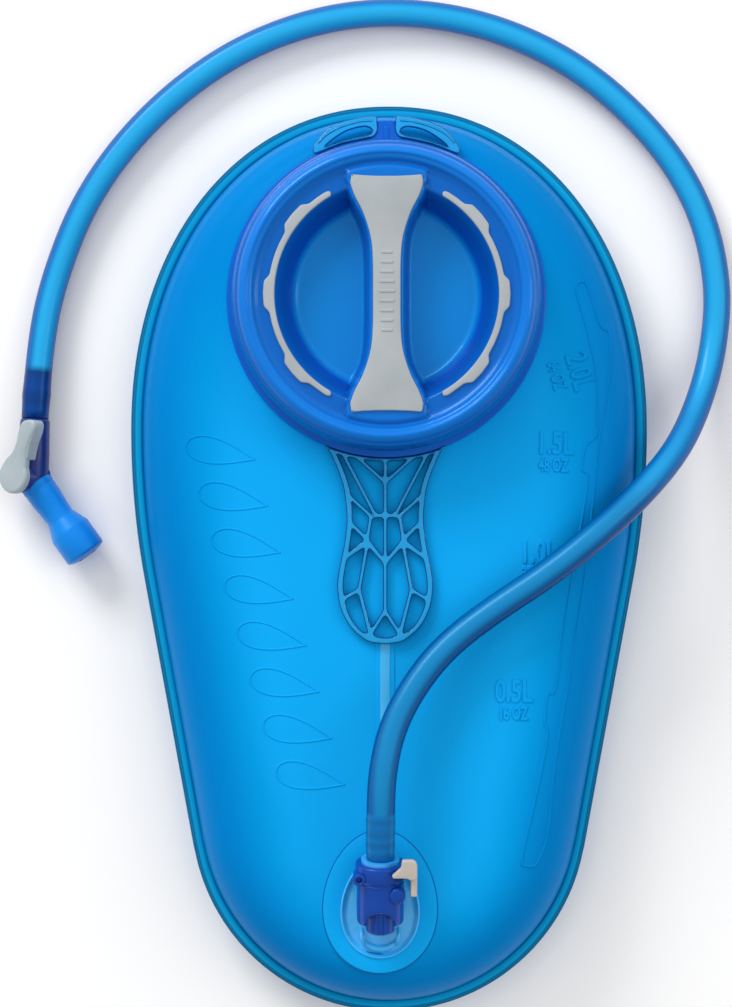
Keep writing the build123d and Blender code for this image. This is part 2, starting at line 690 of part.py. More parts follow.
# ---- the drink line's fitting ----
FITTING_FLANGE_R = 6.8
FITTING_FLANGE = 1.2
FITTING_NOSE_R = 4.9
FITTING_NOSE_LENGTH = 10.5
FITTING_BORE_R = 2.2
BARB_R = 3.2
BARB_RIDGE_R = 3.6
BARB_LENGTH = 13.0
BARB_RIDGES = 3
BARB_FIRST = 2.8
BARB_SPACING = 4.0
BARB_RIDGE_LENGTH = 1.5
O_RING_AT = -6.5
O_RING_SECTION = 0.9
O_RING_R = SOCKET_R - 0.05 - O_RING_SECTION

with BuildPart() as tube_fitting:
    with BuildSketch(OUTLET):
        Circle(FITTING_FLANGE_R)
    extrude(amount=FITTING_FLANGE)
    with BuildSketch(OUTLET):
        Circle(FITTING_NOSE_R)
    extrude(amount=-FITTING_NOSE_LENGTH)
    with BuildSketch(OUTLET.offset(O_RING_AT - O_RING_SECTION)):
        Circle(FITTING_NOSE_R)
        Circle(O_RING_R - O_RING_SECTION, mode=Mode.SUBTRACT)
    extrude(amount=2 * O_RING_SECTION, mode=Mode.SUBTRACT)
    with BuildSketch(OUTLET):
        Circle(BARB_R)
    extrude(amount=FITTING_FLANGE + BARB_LENGTH)
    for ridge in range(BARB_RIDGES):
        with BuildSketch(OUTLET.offset(FITTING_FLANGE + BARB_FIRST + BARB_SPACING * ridge)):
            Circle(BARB_RIDGE_R)
        extrude(amount=BARB_RIDGE_LENGTH)
    with BuildSketch(OUTLET.offset(-FITTING_NOSE_LENGTH)):
        Circle(FITTING_BORE_R)
    extrude(amount=FITTING_NOSE_LENGTH + BARB_LENGTH + 2, mode=Mode.SUBTRACT)
write(tube_fitting, "tube_fitting")

with BuildPart() as fitting_o_ring:
    with BuildSketch(outlet_top_plane(0, 0, O_RING_AT)):
        with Locations((O_RING_R, 0)):
            Circle(O_RING_SECTION)
    revolve(axis=Axis(OUTLET.origin, PULL))
write(fitting_o_ring, "fitting_o_ring")

# ---- the mouthpiece ----
# Its body's axis comes from the tube and leans a little; the lever turns about an axis square to it,
# rolled to the left, and the bite valve leaves at the elbow angle. All of it lies level.
lean = radians(MOUTH_LEAN)
roll = radians(PIVOT_ROLL)
elbow = radians(ELBOW)
MOUTH_ORIGIN = (MOUTH_X, MOUTH_Y, MOUTH_Z)
TUBE_WARD = Vector(sin(lean), cos(lean), 0)
SIDE_WARD = Vector(cos(lean), -sin(lean), 0)
PIVOT_AXIS = SIDE_WARD * -sin(roll) + Vector(0, 0, cos(roll))
BITE_AXIS = Vector(sin(elbow), -cos(elbow), 0)
TUBE_AXIS_PLANE = Plane(origin=MOUTH_ORIGIN, x_dir=SIDE_WARD, z_dir=TUBE_WARD)
LEVER_X = SIDE_WARD * cos(roll) + Vector(0, 0, sin(roll))
LEVER_PLANE = Plane(origin=MOUTH_ORIGIN, x_dir=LEVER_X, z_dir=PIVOT_AXIS)
BITE_PLANE = Plane(origin=MOUTH_ORIGIN, x_dir=(0, 0, 1), z_dir=BITE_AXIS)
TUBE_END = 22.0
BODY_R = 6.0
BODY_NECK_R = 5.4
BOSS_R = 5.6
BOSS_BOTTOM = -4.2
BOSS_TOP = 7.2
ROTOR_R = 3.9
ROTOR_BOTTOM = -3.2
ROTOR_FIT = 0.05
SPIGOT_FLANGE = 6.6
SPIGOT_R = 3.3
SPIGOT_END = 18.0
LEVER_DISC_R = 6.3
LEVER_THICKNESS = 2.6
LEVER_LIFT = BOSS_TOP + 0.1
LEVER_ARM = (
    (-4.6, 4.2),
    (-1.6, 9.0),
    (-0.4, 17.0),
    (2.4, 21.0),
    (10.0, 21.0),
    (10.6, 18.0),
    (6.4, 12.0),
    (5.6, 2.8),
)
LEVER_LIP_PLACE = (9.7, 16.5)
LEVER_LIP = (1.8, 9.0)
LEVER_LIP_DEPTH = 4.5

with BuildPart() as valve_body:
    with BuildSketch(TUBE_AXIS_PLANE):
        Circle(BODY_R)
    with BuildSketch(TUBE_AXIS_PLANE.offset(TUBE_END)):
        Circle(BODY_NECK_R)
    loft()
    with BuildSketch(TUBE_AXIS_PLANE.offset(TUBE_END)):
        Circle(BARB_R)
    extrude(amount=BARB_LENGTH)
    for ridge in range(BARB_RIDGES):
        with BuildSketch(TUBE_AXIS_PLANE.offset(TUBE_END + BARB_FIRST + BARB_SPACING * ridge)):
            Circle(BARB_RIDGE_R)
        extrude(amount=BARB_RIDGE_LENGTH)
    with BuildSketch(LEVER_PLANE.offset(BOSS_BOTTOM)):
        Circle(BOSS_R)
    extrude(amount=BOSS_TOP - BOSS_BOTTOM)
    with BuildSketch(BITE_PLANE):
        Circle(BODY_NECK_R)
    extrude(amount=SPIGOT_FLANGE)
    with BuildSketch(BITE_PLANE):
        Circle(SPIGOT_R)
    extrude(amount=SPIGOT_END)
    with BuildSketch(TUBE_AXIS_PLANE):
        Circle(FITTING_BORE_R)
    extrude(amount=TUBE_END + BARB_LENGTH + 1, mode=Mode.SUBTRACT)
    with BuildSketch(BITE_PLANE):
        Circle(FITTING_BORE_R)
    extrude(amount=SPIGOT_END, mode=Mode.SUBTRACT)
    with BuildSketch(LEVER_PLANE.offset(ROTOR_BOTTOM - 0.1)):
        Circle(ROTOR_R + ROTOR_FIT)
    extrude(amount=2 * BOSS_TOP, mode=Mode.SUBTRACT)
write(valve_body, "valve_body")

with BuildPart() as shutoff_rotor:
    with BuildSketch(LEVER_PLANE.offset(ROTOR_BOTTOM)):
        Circle(ROTOR_R)
    extrude(amount=LEVER_LIFT - ROTOR_BOTTOM)
    with BuildSketch(TUBE_AXIS_PLANE):
        Circle(FITTING_BORE_R)
    extrude(amount=2 * ROTOR_R, mode=Mode.SUBTRACT)
    with BuildSketch(BITE_PLANE):
        Circle(FITTING_BORE_R)
    extrude(amount=2 * ROTOR_R, mode=Mode.SUBTRACT)
write(shutoff_rotor, "shutoff_rotor")

with BuildPart() as shutoff_lever:
    with BuildSketch(LEVER_PLANE.offset(LEVER_LIFT)):
        Circle(LEVER_DISC_R)
        with BuildLine():
            Polyline(*LEVER_ARM, close=True)
        make_face()
    extrude(amount=LEVER_THICKNESS)
    with BuildSketch(LEVER_PLANE.offset(LEVER_LIFT)):
        with Locations(LEVER_LIP_PLACE):
            Rectangle(*LEVER_LIP)
    extrude(amount=-LEVER_LIP_DEPTH)
write(shutoff_lever, "shutoff_lever")

# The bite valve: a sleeve on the spigot that narrows to a neck and widens to the head.
BITE_START = 6.9
BITE_SLEEVE_R = 5.9
BITE_NECK = (18.4, 5.3)
BITE_HEAD_R = 7.8
BITE_HEAD = (23.9, 33.9)
BITE_FACE = ((35.2, 4.0), (35.4, 0))
SPIGOT_POCKET_R = SPIGOT_R + 0.05
SPIGOT_POCKET_END = SPIGOT_END + 0.5

with BuildPart() as bite_valve:
    with BuildSketch(Plane(origin=MOUTH_ORIGIN, x_dir=BITE_AXIS, z_dir=(0, 0, 1))):
        with BuildLine():
            Polyline(
                (SPIGOT_POCKET_END, 0),
                (SPIGOT_POCKET_END, SPIGOT_POCKET_R),
                (BITE_START, SPIGOT_POCKET_R),
                (BITE_START, BITE_SLEEVE_R),
                BITE_NECK,
                (BITE_HEAD[0], BITE_HEAD_R),
                (BITE_HEAD[1], BITE_HEAD_R),
                *BITE_FACE,
                close=True,
            )
        make_face()
    revolve(axis=Axis(MOUTH_ORIGIN, BITE_AXIS))
write(bite_valve, "bite_valve")


# ---- the drinking tube ----
# The route from the coupling's flange over the bag, down beside it and round its top to the mouthpiece.
TUBE_ROUTE = [
    (-3.4, -104.5, 51.3),
    (-3.4, -90.0, 54.4),
    (-2.8, -74.0, 54.8),
    (0.8, -58.0, 52.2),
    (9.0, -43.0, 49.5),
    (20.3, -29.6, 48.0),
    (36.0, -17.6, 47.3),
    (55.5, -5.0, 46.5),
    (73.0, 8.7, 44.0),
    (90.0, 23.8, 37.5),
    (104.3, 39.3, 26.0),
    (113.8, 56.3, 13.2),
    (120.4, 77.0, 6.0),
    (122.5, 102.0, 5.0),
    (115.5, 131.5, 5.0),
    (97.5, 159.0, 5.0),
    (67.5, 185.0, 5.0),
    (30.0, 200.5, 5.0),
    (-11.0, 203.5, 5.0),
    (-51.0, 192.0, 5.0),
    (-85.0, 168.5, 5.0),
    (-111.0, 137.0, 5.0),
    (-125.0, 102.0, 5.0),
    (-129.6, 74.0, 7.5),
    (-130.8, 51.7, 8.0),
]
BEND_SHARE = 0.45


def bend_radii(route):
    """The largest arc that each corner's two runs allow."""
    radii = []
    for before, corner, after in zip(route[:-2], route[1:-1], route[2:]):
        run_in = Vector(corner) - Vector(before)
        run_out = Vector(after) - Vector(corner)
        half_turn = radians(run_in.get_angle(run_out)) / 2
        radii.append(BEND_SHARE * min(run_in.length, run_out.length) / tan(half_turn))
    return radii


tube_radii = bend_radii(TUBE_ROUTE)
print("tube bend radii:", [round(radius) for radius in tube_radii])

with BuildPart() as drink_tube:
    with BuildLine() as tube_path:
        FilletPolyline(*TUBE_ROUTE, radius=tube_radii)
    with BuildSketch(Plane(origin=tube_path.line @ 0, z_dir=tube_path.line % 0)):
        Circle(TUBE_R)
        Circle(TUBE_BORE_R, mode=Mode.SUBTRACT)
    sweep()
write(drink_tube, "drink_tube")
section = pi * (TUBE_R**2 - TUBE_BORE_R**2)
route_length = sum(edge.length for edge in tube_path.edges())
print("tube length:", round(route_length, 1), "by volume:", round(drink_tube.part.volume / section, 1))
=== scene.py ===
import bmesh
import bpy
import numpy as np
from math import cos, pi, radians, sin, sqrt, tan
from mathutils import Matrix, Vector
from mathutils.bvhtree import BVHTree
from mathutils.geometry import delaunay_2d_cdt


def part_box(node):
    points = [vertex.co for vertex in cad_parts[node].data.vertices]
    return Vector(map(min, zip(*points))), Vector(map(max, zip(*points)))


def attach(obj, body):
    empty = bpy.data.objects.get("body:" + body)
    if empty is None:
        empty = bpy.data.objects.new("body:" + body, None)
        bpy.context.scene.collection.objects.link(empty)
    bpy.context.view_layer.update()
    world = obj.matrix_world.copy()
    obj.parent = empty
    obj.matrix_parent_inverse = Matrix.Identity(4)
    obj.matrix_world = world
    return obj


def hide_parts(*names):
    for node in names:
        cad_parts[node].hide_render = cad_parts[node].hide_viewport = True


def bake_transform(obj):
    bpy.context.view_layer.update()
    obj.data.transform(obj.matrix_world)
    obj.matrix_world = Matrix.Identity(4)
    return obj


# Hydration bladder on its back. Shapes are worked out in millimetres, in the CAD model's frame, and scaled
# to metres when a mesh is made: +Z out of the front film, +Y towards the filling port, +X to the right.
# A shape is a pair: an array of points and a list of faces.

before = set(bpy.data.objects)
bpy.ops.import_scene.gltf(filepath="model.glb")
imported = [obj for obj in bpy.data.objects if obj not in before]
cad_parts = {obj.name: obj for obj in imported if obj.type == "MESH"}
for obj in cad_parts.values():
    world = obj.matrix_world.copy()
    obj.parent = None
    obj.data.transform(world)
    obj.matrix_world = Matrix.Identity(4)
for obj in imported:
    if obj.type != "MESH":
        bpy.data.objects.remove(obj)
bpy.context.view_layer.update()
MM = 0.001


def node_box(name):
    """A CAD node's lowest and highest corners, in millimetres."""
    low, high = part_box(name)
    return low / MM, high / MM


# ---------------------------------------------------------------- shapes
def shape_of(rings, loops):
    """Quads between consecutive rings of points; loops says whether the last ring joins the first."""
    rings = np.asarray(rings, float)
    count = rings.shape[1]
    numbers = np.arange(rings.shape[0] * count).reshape(-1, count)
    pairs = list(zip(numbers[:-1], numbers[1:])) + ([(numbers[-1], numbers[0])] if loops else [])
    faces = []
    for first, second in pairs:
        ahead_1, ahead_2 = np.roll(first, -1), np.roll(second, -1)
        faces += list(zip(first.tolist(), ahead_1.tolist(), ahead_2.tolist(), second.tolist()))
    return rings.reshape(-1, 3), faces


def loft(rings):
    """A closed shape through rings of points, with a face at each end."""
    points, faces = shape_of(rings, False)
    count = np.asarray(rings).shape[1]
    faces.append(tuple(range(count - 1, -1, -1)))
    faces.append(tuple(range(len(points) - count, len(points))))
    return points, faces


def placed(shape, origin, x_dir, z_dir):
    """A shape moved from its own coordinates to an origin, with its x and z turned to two directions."""
    x_axis, z_axis = Vector(x_dir).normalized(), Vector(z_dir).normalized()
    turn = np.array([x_axis, z_axis.cross(x_axis), z_axis])
    return np.asarray(shape[0]) @ turn + np.array(origin), shape[1]


def rounded(points, radius, closed=True, steps=5):
    """A polyline with its corners rounded; radius is a reach along the runs, or one for each point."""
    points = np.asarray(points, float)
    reaches = np.broadcast_to(radius, len(points))
    result = []
    for i, corner in enumerate(points):
        if not closed and i in (0, len(points) - 1):
            result.append(corner)
            continue
        before, after = points[i - 1] - corner, points[(i + 1) % len(points)] - corner
        size_1, size_2 = np.linalg.norm(before), np.linalg.norm(after)
        reach = min(reaches[i], 0.48 * size_1, 0.48 * size_2)
        start, end = corner + before / size_1 * reach, corner + after / size_2 * reach
        for t in np.linspace(0, 1, steps + 1):
            result.append((1 - t) ** 2 * start + 2 * t * (1 - t) * corner + t**2 * end)
    return np.array(result)


def lengths_along(points):
    """Each point's distance along a line of points."""
    return np.concatenate([[0], np.cumsum(np.linalg.norm(np.diff(points, axis=0), axis=1))])


def spaced(points, step, closed=True):
    """Points about a step apart along a polyline."""
    points = np.asarray(points, float)
    if closed:
        points = np.vstack([points, points[:1]])
    along = lengths_along(points)
    keep = np.concatenate([[True], np.diff(along) > 1e-9])
    count = max(3, round(along[-1] / step))
    at = np.linspace(0, along[-1], count + 1)
    if closed:
        at = at[:-1]
    return np.stack([np.interp(at, along[keep], points[keep, k]) for k in range(points.shape[1])], axis=1)


def smooth_curve(points, closed=False, steps=8):
    """A Catmull-Rom curve through points."""
    points = np.asarray(points, float)
    count = len(points)
    ends = count if closed else count - 1
    at = (lambda i: points[i % count]) if closed else (lambda i: points[min(max(i, 0), count - 1)])
    result = []
    for i in range(ends):
        a, b, c, d = at(i - 1), at(i), at(i + 1), at(i + 2)
        for t in np.arange(steps) / steps:
            result.append(0.5 * (2 * b + (c - a) * t + (2 * a - 5 * b + 4 * c - d) * t**2
                                 + (3 * b - a - 3 * c + d) * t**3))
    if not closed:
        result.append(points[-1])
    return np.array(result)


def turned(loop, hole=False):
    """A loop that runs anticlockwise, or clockwise round a hole, so that the material is on its left."""
    x, y = loop[:, 0], loop[:, 1]
    area = np.sum(x * np.roll(y, -1) - y * np.roll(x, -1))
    return loop[::-1] if (area > 0) == hole else loop


def inset(loop, distance):
    """A loop moved into the material on its left."""
    ahead = np.roll(loop, -1, axis=0) - loop
    ahead /= np.maximum(np.linalg.norm(ahead, axis=1), 1e-9)[:, None]
    normal = np.stack([-ahead[:, 1], ahead[:, 0]], axis=1)
    mean = normal + np.roll(normal, 1, axis=0)
    mean /= np.maximum(np.linalg.norm(mean, axis=1), 1e-9)[:, None]
    stretch = 1 / np.maximum(np.sum(mean * normal, axis=1), 0.25)
    return loop + mean * (distance * stretch)[:, None]


INSIDE_ONLY = 1


def within(points, loops):
    """Which points lie inside an odd number of loops: in the outline and in none of its holes."""
    inside = np.zeros(len(points), bool)
    x, y = points[:, :1], points[:, 1:2]
    for loop in loops:
        x1, y1 = loop[:, 0], loop[:, 1]
        x2, y2 = np.roll(x1, -1), np.roll(y1, -1)
        crosses = (y1 > y) != (y2 > y)
        reach = x1 + (x2 - x1) * (y - y1) / np.where(y2 == y1, 1e-9, y2 - y1)
        inside ^= (np.sum(crosses & (x < reach), axis=1) % 2).astype(bool)
    return inside


def filled(loops, inner=()):
    """Triangles between loops of flat points, an outline then its holes, with any inner points."""
    points = [Vector(p) for loop in loops for p in loop] + [Vector(p) for p in inner]
    edges = []
    start = 0
    for loop in loops:
        count = len(loop)
        edges += [(start + i, start + (i + 1) % count) for i in range(count)]
        start += count
    _, _, faces, sources, _, _ = delaunay_2d_cdt(points, edges, [], INSIDE_ONLY, 1e-7)
    number = [source[0] if source else -1 for source in sources]
    faces = np.array([[number[i] for i in face] for face in faces if all(number[i] >= 0 for i in face)])
    middles = np.array(points)[faces].mean(axis=1)
    return [tuple(face) for face in faces[within(middles, loops)].tolist()]


def plate(loops, bottom, top, bevel, steps=3, lift=None, under=0.15):
    """A flat piece with rounded edges: its outline, then its holes, between two heights. lift(x, y) raises it."""
    loops = [turned(np.asarray(loop, float), i > 0) for i, loop in enumerate(loops)]
    turns = np.linspace(0, pi / 2, steps + 1)
    layers = [(under, bottom), (0, bottom + under)]
    layers += [(bevel * (1 - cos(a)), top - bevel + bevel * sin(a)) for a in turns]
    counts = [len(loop) for loop in loops]
    total = sum(counts)
    points = []
    for depth, z in layers:
        flat = np.vstack([inset(loop, depth) for loop in loops])
        points.append(np.column_stack([flat, np.full(total, z)]))
    faces = []
    for level in range(len(layers) - 1):
        start = level * total
        for count in counts:
            for i in range(count):
                a, b = start + i, start + (i + 1) % count
                faces.append((a, b, b + total, a + total))
            start += count
    lid = filled([inset(loop, bevel) for loop in loops])
    floor = filled([inset(loop, under) for loop in loops])
    faces += [tuple(i + (len(layers) - 1) * total for i in face) for face in lid]
    faces += [tuple(reversed(face)) for face in floor]
    points = np.vstack(points)
    if lift is not None:
        points[:, 2] += lift(points[:, 0], points[:, 1])
    return points, faces


def lathe(profile, sides=64, closed=False):
    """A profile of (radius, height) turned about z; closed joins its end to its start."""
    turns = 2 * pi * np.arange(sides) / sides
    rings = [np.column_stack([r * np.cos(turns), r * np.sin(turns), np.full(sides, z)]) for r, z in profile]
    return shape_of(rings, True) if closed else loft(rings)


def frames_along(points):
    """Two normals at each point of a line, turned as little as possible along it."""
    tangents = np.gradient(points, axis=0)
    tangents /= np.linalg.norm(tangents, axis=1)[:, None]
    normal = np.cross(tangents[0], (1, 0, 0) if abs(tangents[0][0]) < 0.9 else (0, 1, 0))
    normals = []
    for tangent in tangents:
        normal = normal - tangent * np.dot(normal, tangent)
        normal = normal / np.linalg.norm(normal)
        normals.append(normal)
    normals = np.array(normals)
    return normals, np.cross(tangents, normals)


def tube_rings(points, radii, sides):
    """Round sections along a line."""
    first, second = frames_along(points)
    turns = 2 * pi * np.arange(sides) / sides
    around = np.cos(turns)[None, :, None] * first[:, None] + np.sin(turns)[None, :, None] * second[:, None]
    return points[:, None] + around * np.broadcast_to(radii, len(points))[:, None, None]


def smooth_step(value, start, end):
    share = np.clip((value - start) / (end - start), 0, 1)
    return share * share * (3 - 2 * share)


def mesh_object(name, *shapes):
    """One smooth-shaded object from shapes in millimetres."""
    points, faces, start = [], [], 0
    for shape_points, shape_faces in shapes:
        points.append(np.asarray(shape_points, float))
        faces += [tuple(i + start for i in face) for face in shape_faces]
        start += len(shape_points)
    mesh = bpy.data.meshes.new(name)
    mesh.from_pydata((np.vstack(points) * MM).tolist(), [], faces)
    grid = bmesh.new()
    grid.from_mesh(mesh)
    bmesh.ops.recalc_face_normals(grid, faces=grid.faces)
    grid.to_mesh(mesh)
    grid.free()
    mesh.shade_smooth()
    piece = bpy.data.objects.new(name, mesh)
    bpy.context.scene.collection.objects.link(piece)
    return piece


def crisp(piece, angle=35):
    """Keeps edges sharper than an angle in the shading."""
    piece.data.set_sharp_from_angle(angle=radians(angle))
    return piece


def own(piece, body, slot, material, *nodes):
    """Gives a finished piece its body and material, and hides the CAD nodes that it stands for. slot is not used."""
    piece.data.materials.clear()
    piece.data.materials.append(material)
    if body:
        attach(piece, body)
    if nodes:
        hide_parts(*nodes)
    return piece


# ---------------------------------------------------------------- materials
def srgb(red, green, blue):
    """A colour from 0 to 255 as screens show it, as the linear values that shaders take."""
    return tuple(((v / 255 + 0.055) / 1.055) ** 2.4 for v in (red, green, blue))


def plain(name, color, roughness, **inputs):
    """A principled material; inputs are the shader's own sockets by name, with _ for a space."""
    material = bpy.data.materials.new(name)
    material.use_nodes = True
    shader = material.node_tree.nodes["Principled BSDF"]
    shader.inputs["Base Color"].default_value = (*color, 1)
    shader.inputs["Roughness"].default_value = roughness
    for socket, value in inputs.items():
        shader.inputs[socket.replace("_", " ")].default_value = value
    return material


class Nodes:
    """Short calls that add nodes to a material."""

    def __init__(self, material):
        self.tree = material.node_tree
        self.shader = self.tree.nodes["Principled BSDF"]

    def add(self, kind, **settings):
        node = self.tree.nodes.new("ShaderNode" + kind)
        for key, value in settings.items():
            if key in node.inputs:
                node.inputs[key].default_value = value
            else:
                setattr(node, key, value)
        return node

    def link(self, output, target):
        self.tree.links.new(output, target)

    def coordinates(self):
        return self.add("TexCoord").outputs["Object"]

    def noise(self, scale, detail=3.0, stretch=None):
        noise = self.add("TexNoise", Scale=scale, Detail=detail)
        source = self.coordinates()
        if stretch:
            mapping = self.add("Mapping")
            mapping.inputs["Scale"].default_value = stretch
            self.link(source, mapping.inputs["Vector"])
            source = mapping.outputs["Vector"]
        self.link(source, noise.inputs["Vector"])
        return noise.outputs["Fac"]

    def ramp(self, source, stops):
        ramp = self.add("ValToRGB")
        elements = ramp.color_ramp.elements
        while len(elements) < len(stops):
            elements.new(0.5)
        for element, (place, color) in zip(elements, stops):
            element.position = place
            element.color = (*color, 1)
        self.link(source, ramp.inputs["Fac"])
        return ramp.outputs["Color"]

    def between(self, source, low, high):
        """A value's 0 to 1 spread over low to high."""
        spread = self.add("MapRange")
        spread.inputs["To Min"].default_value = low
        spread.inputs["To Max"].default_value = high
        self.link(source, spread.inputs["Value"])
        return spread.outputs["Result"]

    def tinted(self, color, tint):
        """Makes the base colour of one colour multiplied by another."""
        mix = self.add("Mix", data_type="RGBA", blend_type="MULTIPLY")
        mix.inputs["Factor"].default_value = 1.0
        self.link(color, mix.inputs[6])
        self.link(tint, mix.inputs[7])
        self.link(mix.outputs[2], self.shader.inputs["Base Color"])

    def bump(self, source, strength, distance, after=None):
        bump = self.add("Bump", Strength=strength, Distance=distance)
        self.link(source, bump.inputs["Height"])
        if after is not None:
            self.link(after, bump.inputs["Normal"])
        self.link(bump.outputs["Normal"], self.shader.inputs["Normal"])
        return bump.outputs["Normal"]


def moulded(name, dark, light, roughness, grain=900, depth=0.00004, **inputs):
    """Moulded plastic or rubber: a faint mottle of colour and gloss over a fine surface grain."""
    material = plain(name, light, roughness, **inputs)
    nodes = Nodes(material)
    mottle = nodes.noise(60)
    nodes.link(nodes.ramp(mottle, [(0.3, dark), (0.7, light)]), nodes.shader.inputs["Base Color"])
    nodes.link(nodes.between(nodes.noise(140), roughness * 0.85, roughness * 1.15),
               nodes.shader.inputs["Roughness"])
    nodes.bump(nodes.noise(grain, 2.0), 0.35, depth)
    return material


# ---------------------------------------------------------------- camera, light and stage
CAMERA_PLACE = (-8.44, 20.27, 900.0)
SENSOR = 36.0
FRAMED_HEIGHT = 369.4
FRAMED_Z = 15.0


def make_camera():
    camera = bpy.data.cameras.new("camera")
    camera.sensor_width = SENSOR
    camera.lens = SENSOR * (CAMERA_PLACE[2] - FRAMED_Z) / FRAMED_HEIGHT
    camera.clip_start = 0.05
    camera.clip_end = 20
    holder = bpy.data.objects.new("camera", camera)
    holder.location = Vector(CAMERA_PLACE) * MM
    bpy.context.scene.collection.objects.link(holder)
    bpy.context.scene.camera = holder


def soft_light(name, place, size, power):
    """A soft box that faces the object."""
    light = bpy.data.lights.new(name, "AREA")
    light.shape = "RECTANGLE"
    light.size, light.size_y = size
    light.energy = power
    holder = bpy.data.objects.new(name, light)
    holder.location = place
    holder.rotation_mode = "QUATERNION"
    holder.rotation_quaternion = (-Vector(place)).to_track_quat("-Z", "Y")
    bpy.context.scene.collection.objects.link(holder)


SKY_LEVELS = ((0.0, 0.35), (0.3, 0.8), (0.6, 1.0), (0.85, 1.0), (0.95, 0.9), (1.0, 0.85))


def make_world():
    """A bright sky, darker at the horizon, and towards the bottom of the bag."""
    world = bpy.data.worlds.new("studio")
    world.use_nodes = True
    tree = world.node_tree
    background = tree.nodes["Background"]
    source = tree.nodes.new("ShaderNodeTexCoord")
    split = tree.nodes.new("ShaderNodeSeparateXYZ")
    ramp = tree.nodes.new("ShaderNodeValToRGB")
    for step, (place, level) in enumerate(SKY_LEVELS):
        element = ramp.color_ramp.elements[step] if step < 2 else ramp.color_ramp.elements.new(place)
        element.position = place
        element.color = (level, level, level, 1)
    sides = tree.nodes.new("ShaderNodeMapRange")
    sides.inputs["From Min"].default_value = -0.9
    sides.inputs["From Max"].default_value = 0.9
    sides.inputs["To Min"].default_value = 0.56
    sides.inputs["To Max"].default_value = 1.15
    tree.links.new(source.outputs["Generated"], split.inputs["Vector"])
    tree.links.new(split.outputs["Z"], ramp.inputs["Fac"])
    tree.links.new(split.outputs["Y"], sides.inputs["Value"])
    tree.links.new(ramp.outputs["Color"], background.inputs["Color"])
    tree.links.new(sides.outputs["Result"], background.inputs["Strength"])
    bpy.context.scene.world = world
    bpy.context.scene.view_settings.view_transform = "Standard"


def make_floor():
    reach = 4000
    corners = [(-reach, -reach, -0.2), (reach, -reach, -0.2), (reach, reach, -0.2), (-reach, reach, -0.2)]
    floor = mesh_object("floor", (corners, [(0, 1, 2, 3)]))
    floor.data.materials.append(plain("floor_white", (0.96, 0.96, 0.96), 0.8))


make_camera()
make_world()
make_floor()
soft_light("key", (-0.8, 1.2, 0.8), (0.8, 0.5), 15)
soft_light("side", (1.3, 0.2, 1.0), (0.3, 0.9), 3)

# ---------------------------------------------------------------- the drinking tube
TUBE_ROUTE = (
    (-0.0034, -0.1045, 0.0513),
    (-0.0034, -0.0900, 0.0544),
    (-0.0028, -0.0740, 0.0548),
    (0.0008, -0.0580, 0.0522),
    (0.0090, -0.0430, 0.0495),
    (0.0203, -0.0296, 0.0480),
    (0.0360, -0.0176, 0.0473),
    (0.0555, -0.0050, 0.0465),
    (0.0730, 0.0087, 0.0440),
    (0.0900, 0.0238, 0.0375),
    (0.1043, 0.0393, 0.0260),
    (0.1138, 0.0563, 0.0132),
    (0.1204, 0.0770, 0.0060),
    (0.1225, 0.1020, 0.0050),
    (0.1155, 0.1315, 0.0050),
    (0.0975, 0.1590, 0.0050),
    (0.0675, 0.1850, 0.0050),
    (0.0300, 0.2005, 0.0050),
    (-0.0110, 0.2035, 0.0050),
    (-0.0510, 0.1920, 0.0050),
    (-0.0850, 0.1685, 0.0050),
    (-0.1110, 0.1370, 0.0050),
    (-0.1250, 0.1020, 0.0050),
    (-0.1296, 0.0740, 0.0075),
    (-0.1308, 0.0517, 0.0080),
)
TUBE_R = 5.0
BORE_R = 3.2
TUBE_SIDES = 32
BARB_RIDGES = (4.8, 8.8, 12.8)
BARB_SWELL = 0.3


def curve_mesh(curve):
    """The points and faces of a curve or a text."""
    holder = bpy.data.objects.new(curve.name, curve)
    mesh = bpy.data.meshes.new_from_object(holder)
    bpy.data.objects.remove(holder)
    return np.array([vertex.co for vertex in mesh.vertices]), [tuple(face.vertices) for face in mesh.polygons]


def tube_centreline():
    """Points in millimetres along the route's NURBS spline."""
    curve = bpy.data.curves.new("tube_route", "CURVE")
    curve.dimensions = "3D"
    curve.resolution_u = 14
    spline = curve.splines.new("NURBS")
    spline.points.add(len(TUBE_ROUTE) - 1)
    for point, place in zip(spline.points, TUBE_ROUTE):
        point.co = (*place, 1)
    spline.order_u = 3
    spline.use_endpoint_u = True
    return curve_mesh(curve)[0] / MM


# Painted light on the hose: painted shade at its edges, half shade on its sides, a painted highlight along its crown.
HOSE_EDGE_PAINTED_SHADE, HOSE_SIDE_HALF_SHADE, HOSE_CROWN_PAINTED_HIGHLIGHT = srgb(10, 62, 146), srgb(6, 116, 184), srgb(36, 168, 226)
BARB_SHADE, FITTING_SHADE = srgb(0, 62, 140), srgb(10, 112, 184)
# The painted highlight leans from straight up towards the bag's middle. Over the bag the hose gets painted shade, which
# fades out where it leaves the bag.
PAINTED_LIGHT_LEAN = 0.3
BARB_SHOWS, FITTING_SHOWS = 19.0, 16.0
OFF_THE_BAG = (158.0, 186.0)
OVER_THE_BAG_PAINTED_SHADE = (0.3, 0.56, 0.66)


def hose_material():
    """Satin translucent hose whose colour holds painted light: a painted highlight along its crown and painted shade
    down its sides.
    """
    material = plain("blue_hose", HOSE_CROWN_PAINTED_HIGHLIGHT, 0.3, IOR=1.36, Specular_Tint=(0.35, 0.7, 1, 1), Coat_Weight=0.06,
                     Coat_Roughness=0.12)
    nodes = Nodes(material)
    # This attribute holds the hose's painted highlight and painted shade.
    painted_light_tone = nodes.add("Attribute", attribute_name="painted_light_tone")
    mottle = nodes.ramp(nodes.noise(45), [(0.3, (0.94, 0.96, 0.97)), (0.7, (1, 1, 1))])
    nodes.tinted(painted_light_tone.outputs["Color"], mottle)
    nodes.link(nodes.between(nodes.noise(80), 0.26, 0.34), nodes.shader.inputs["Roughness"])
    nodes.bump(nodes.noise(260, 2.0), 0.12, 0.00006)
    return material


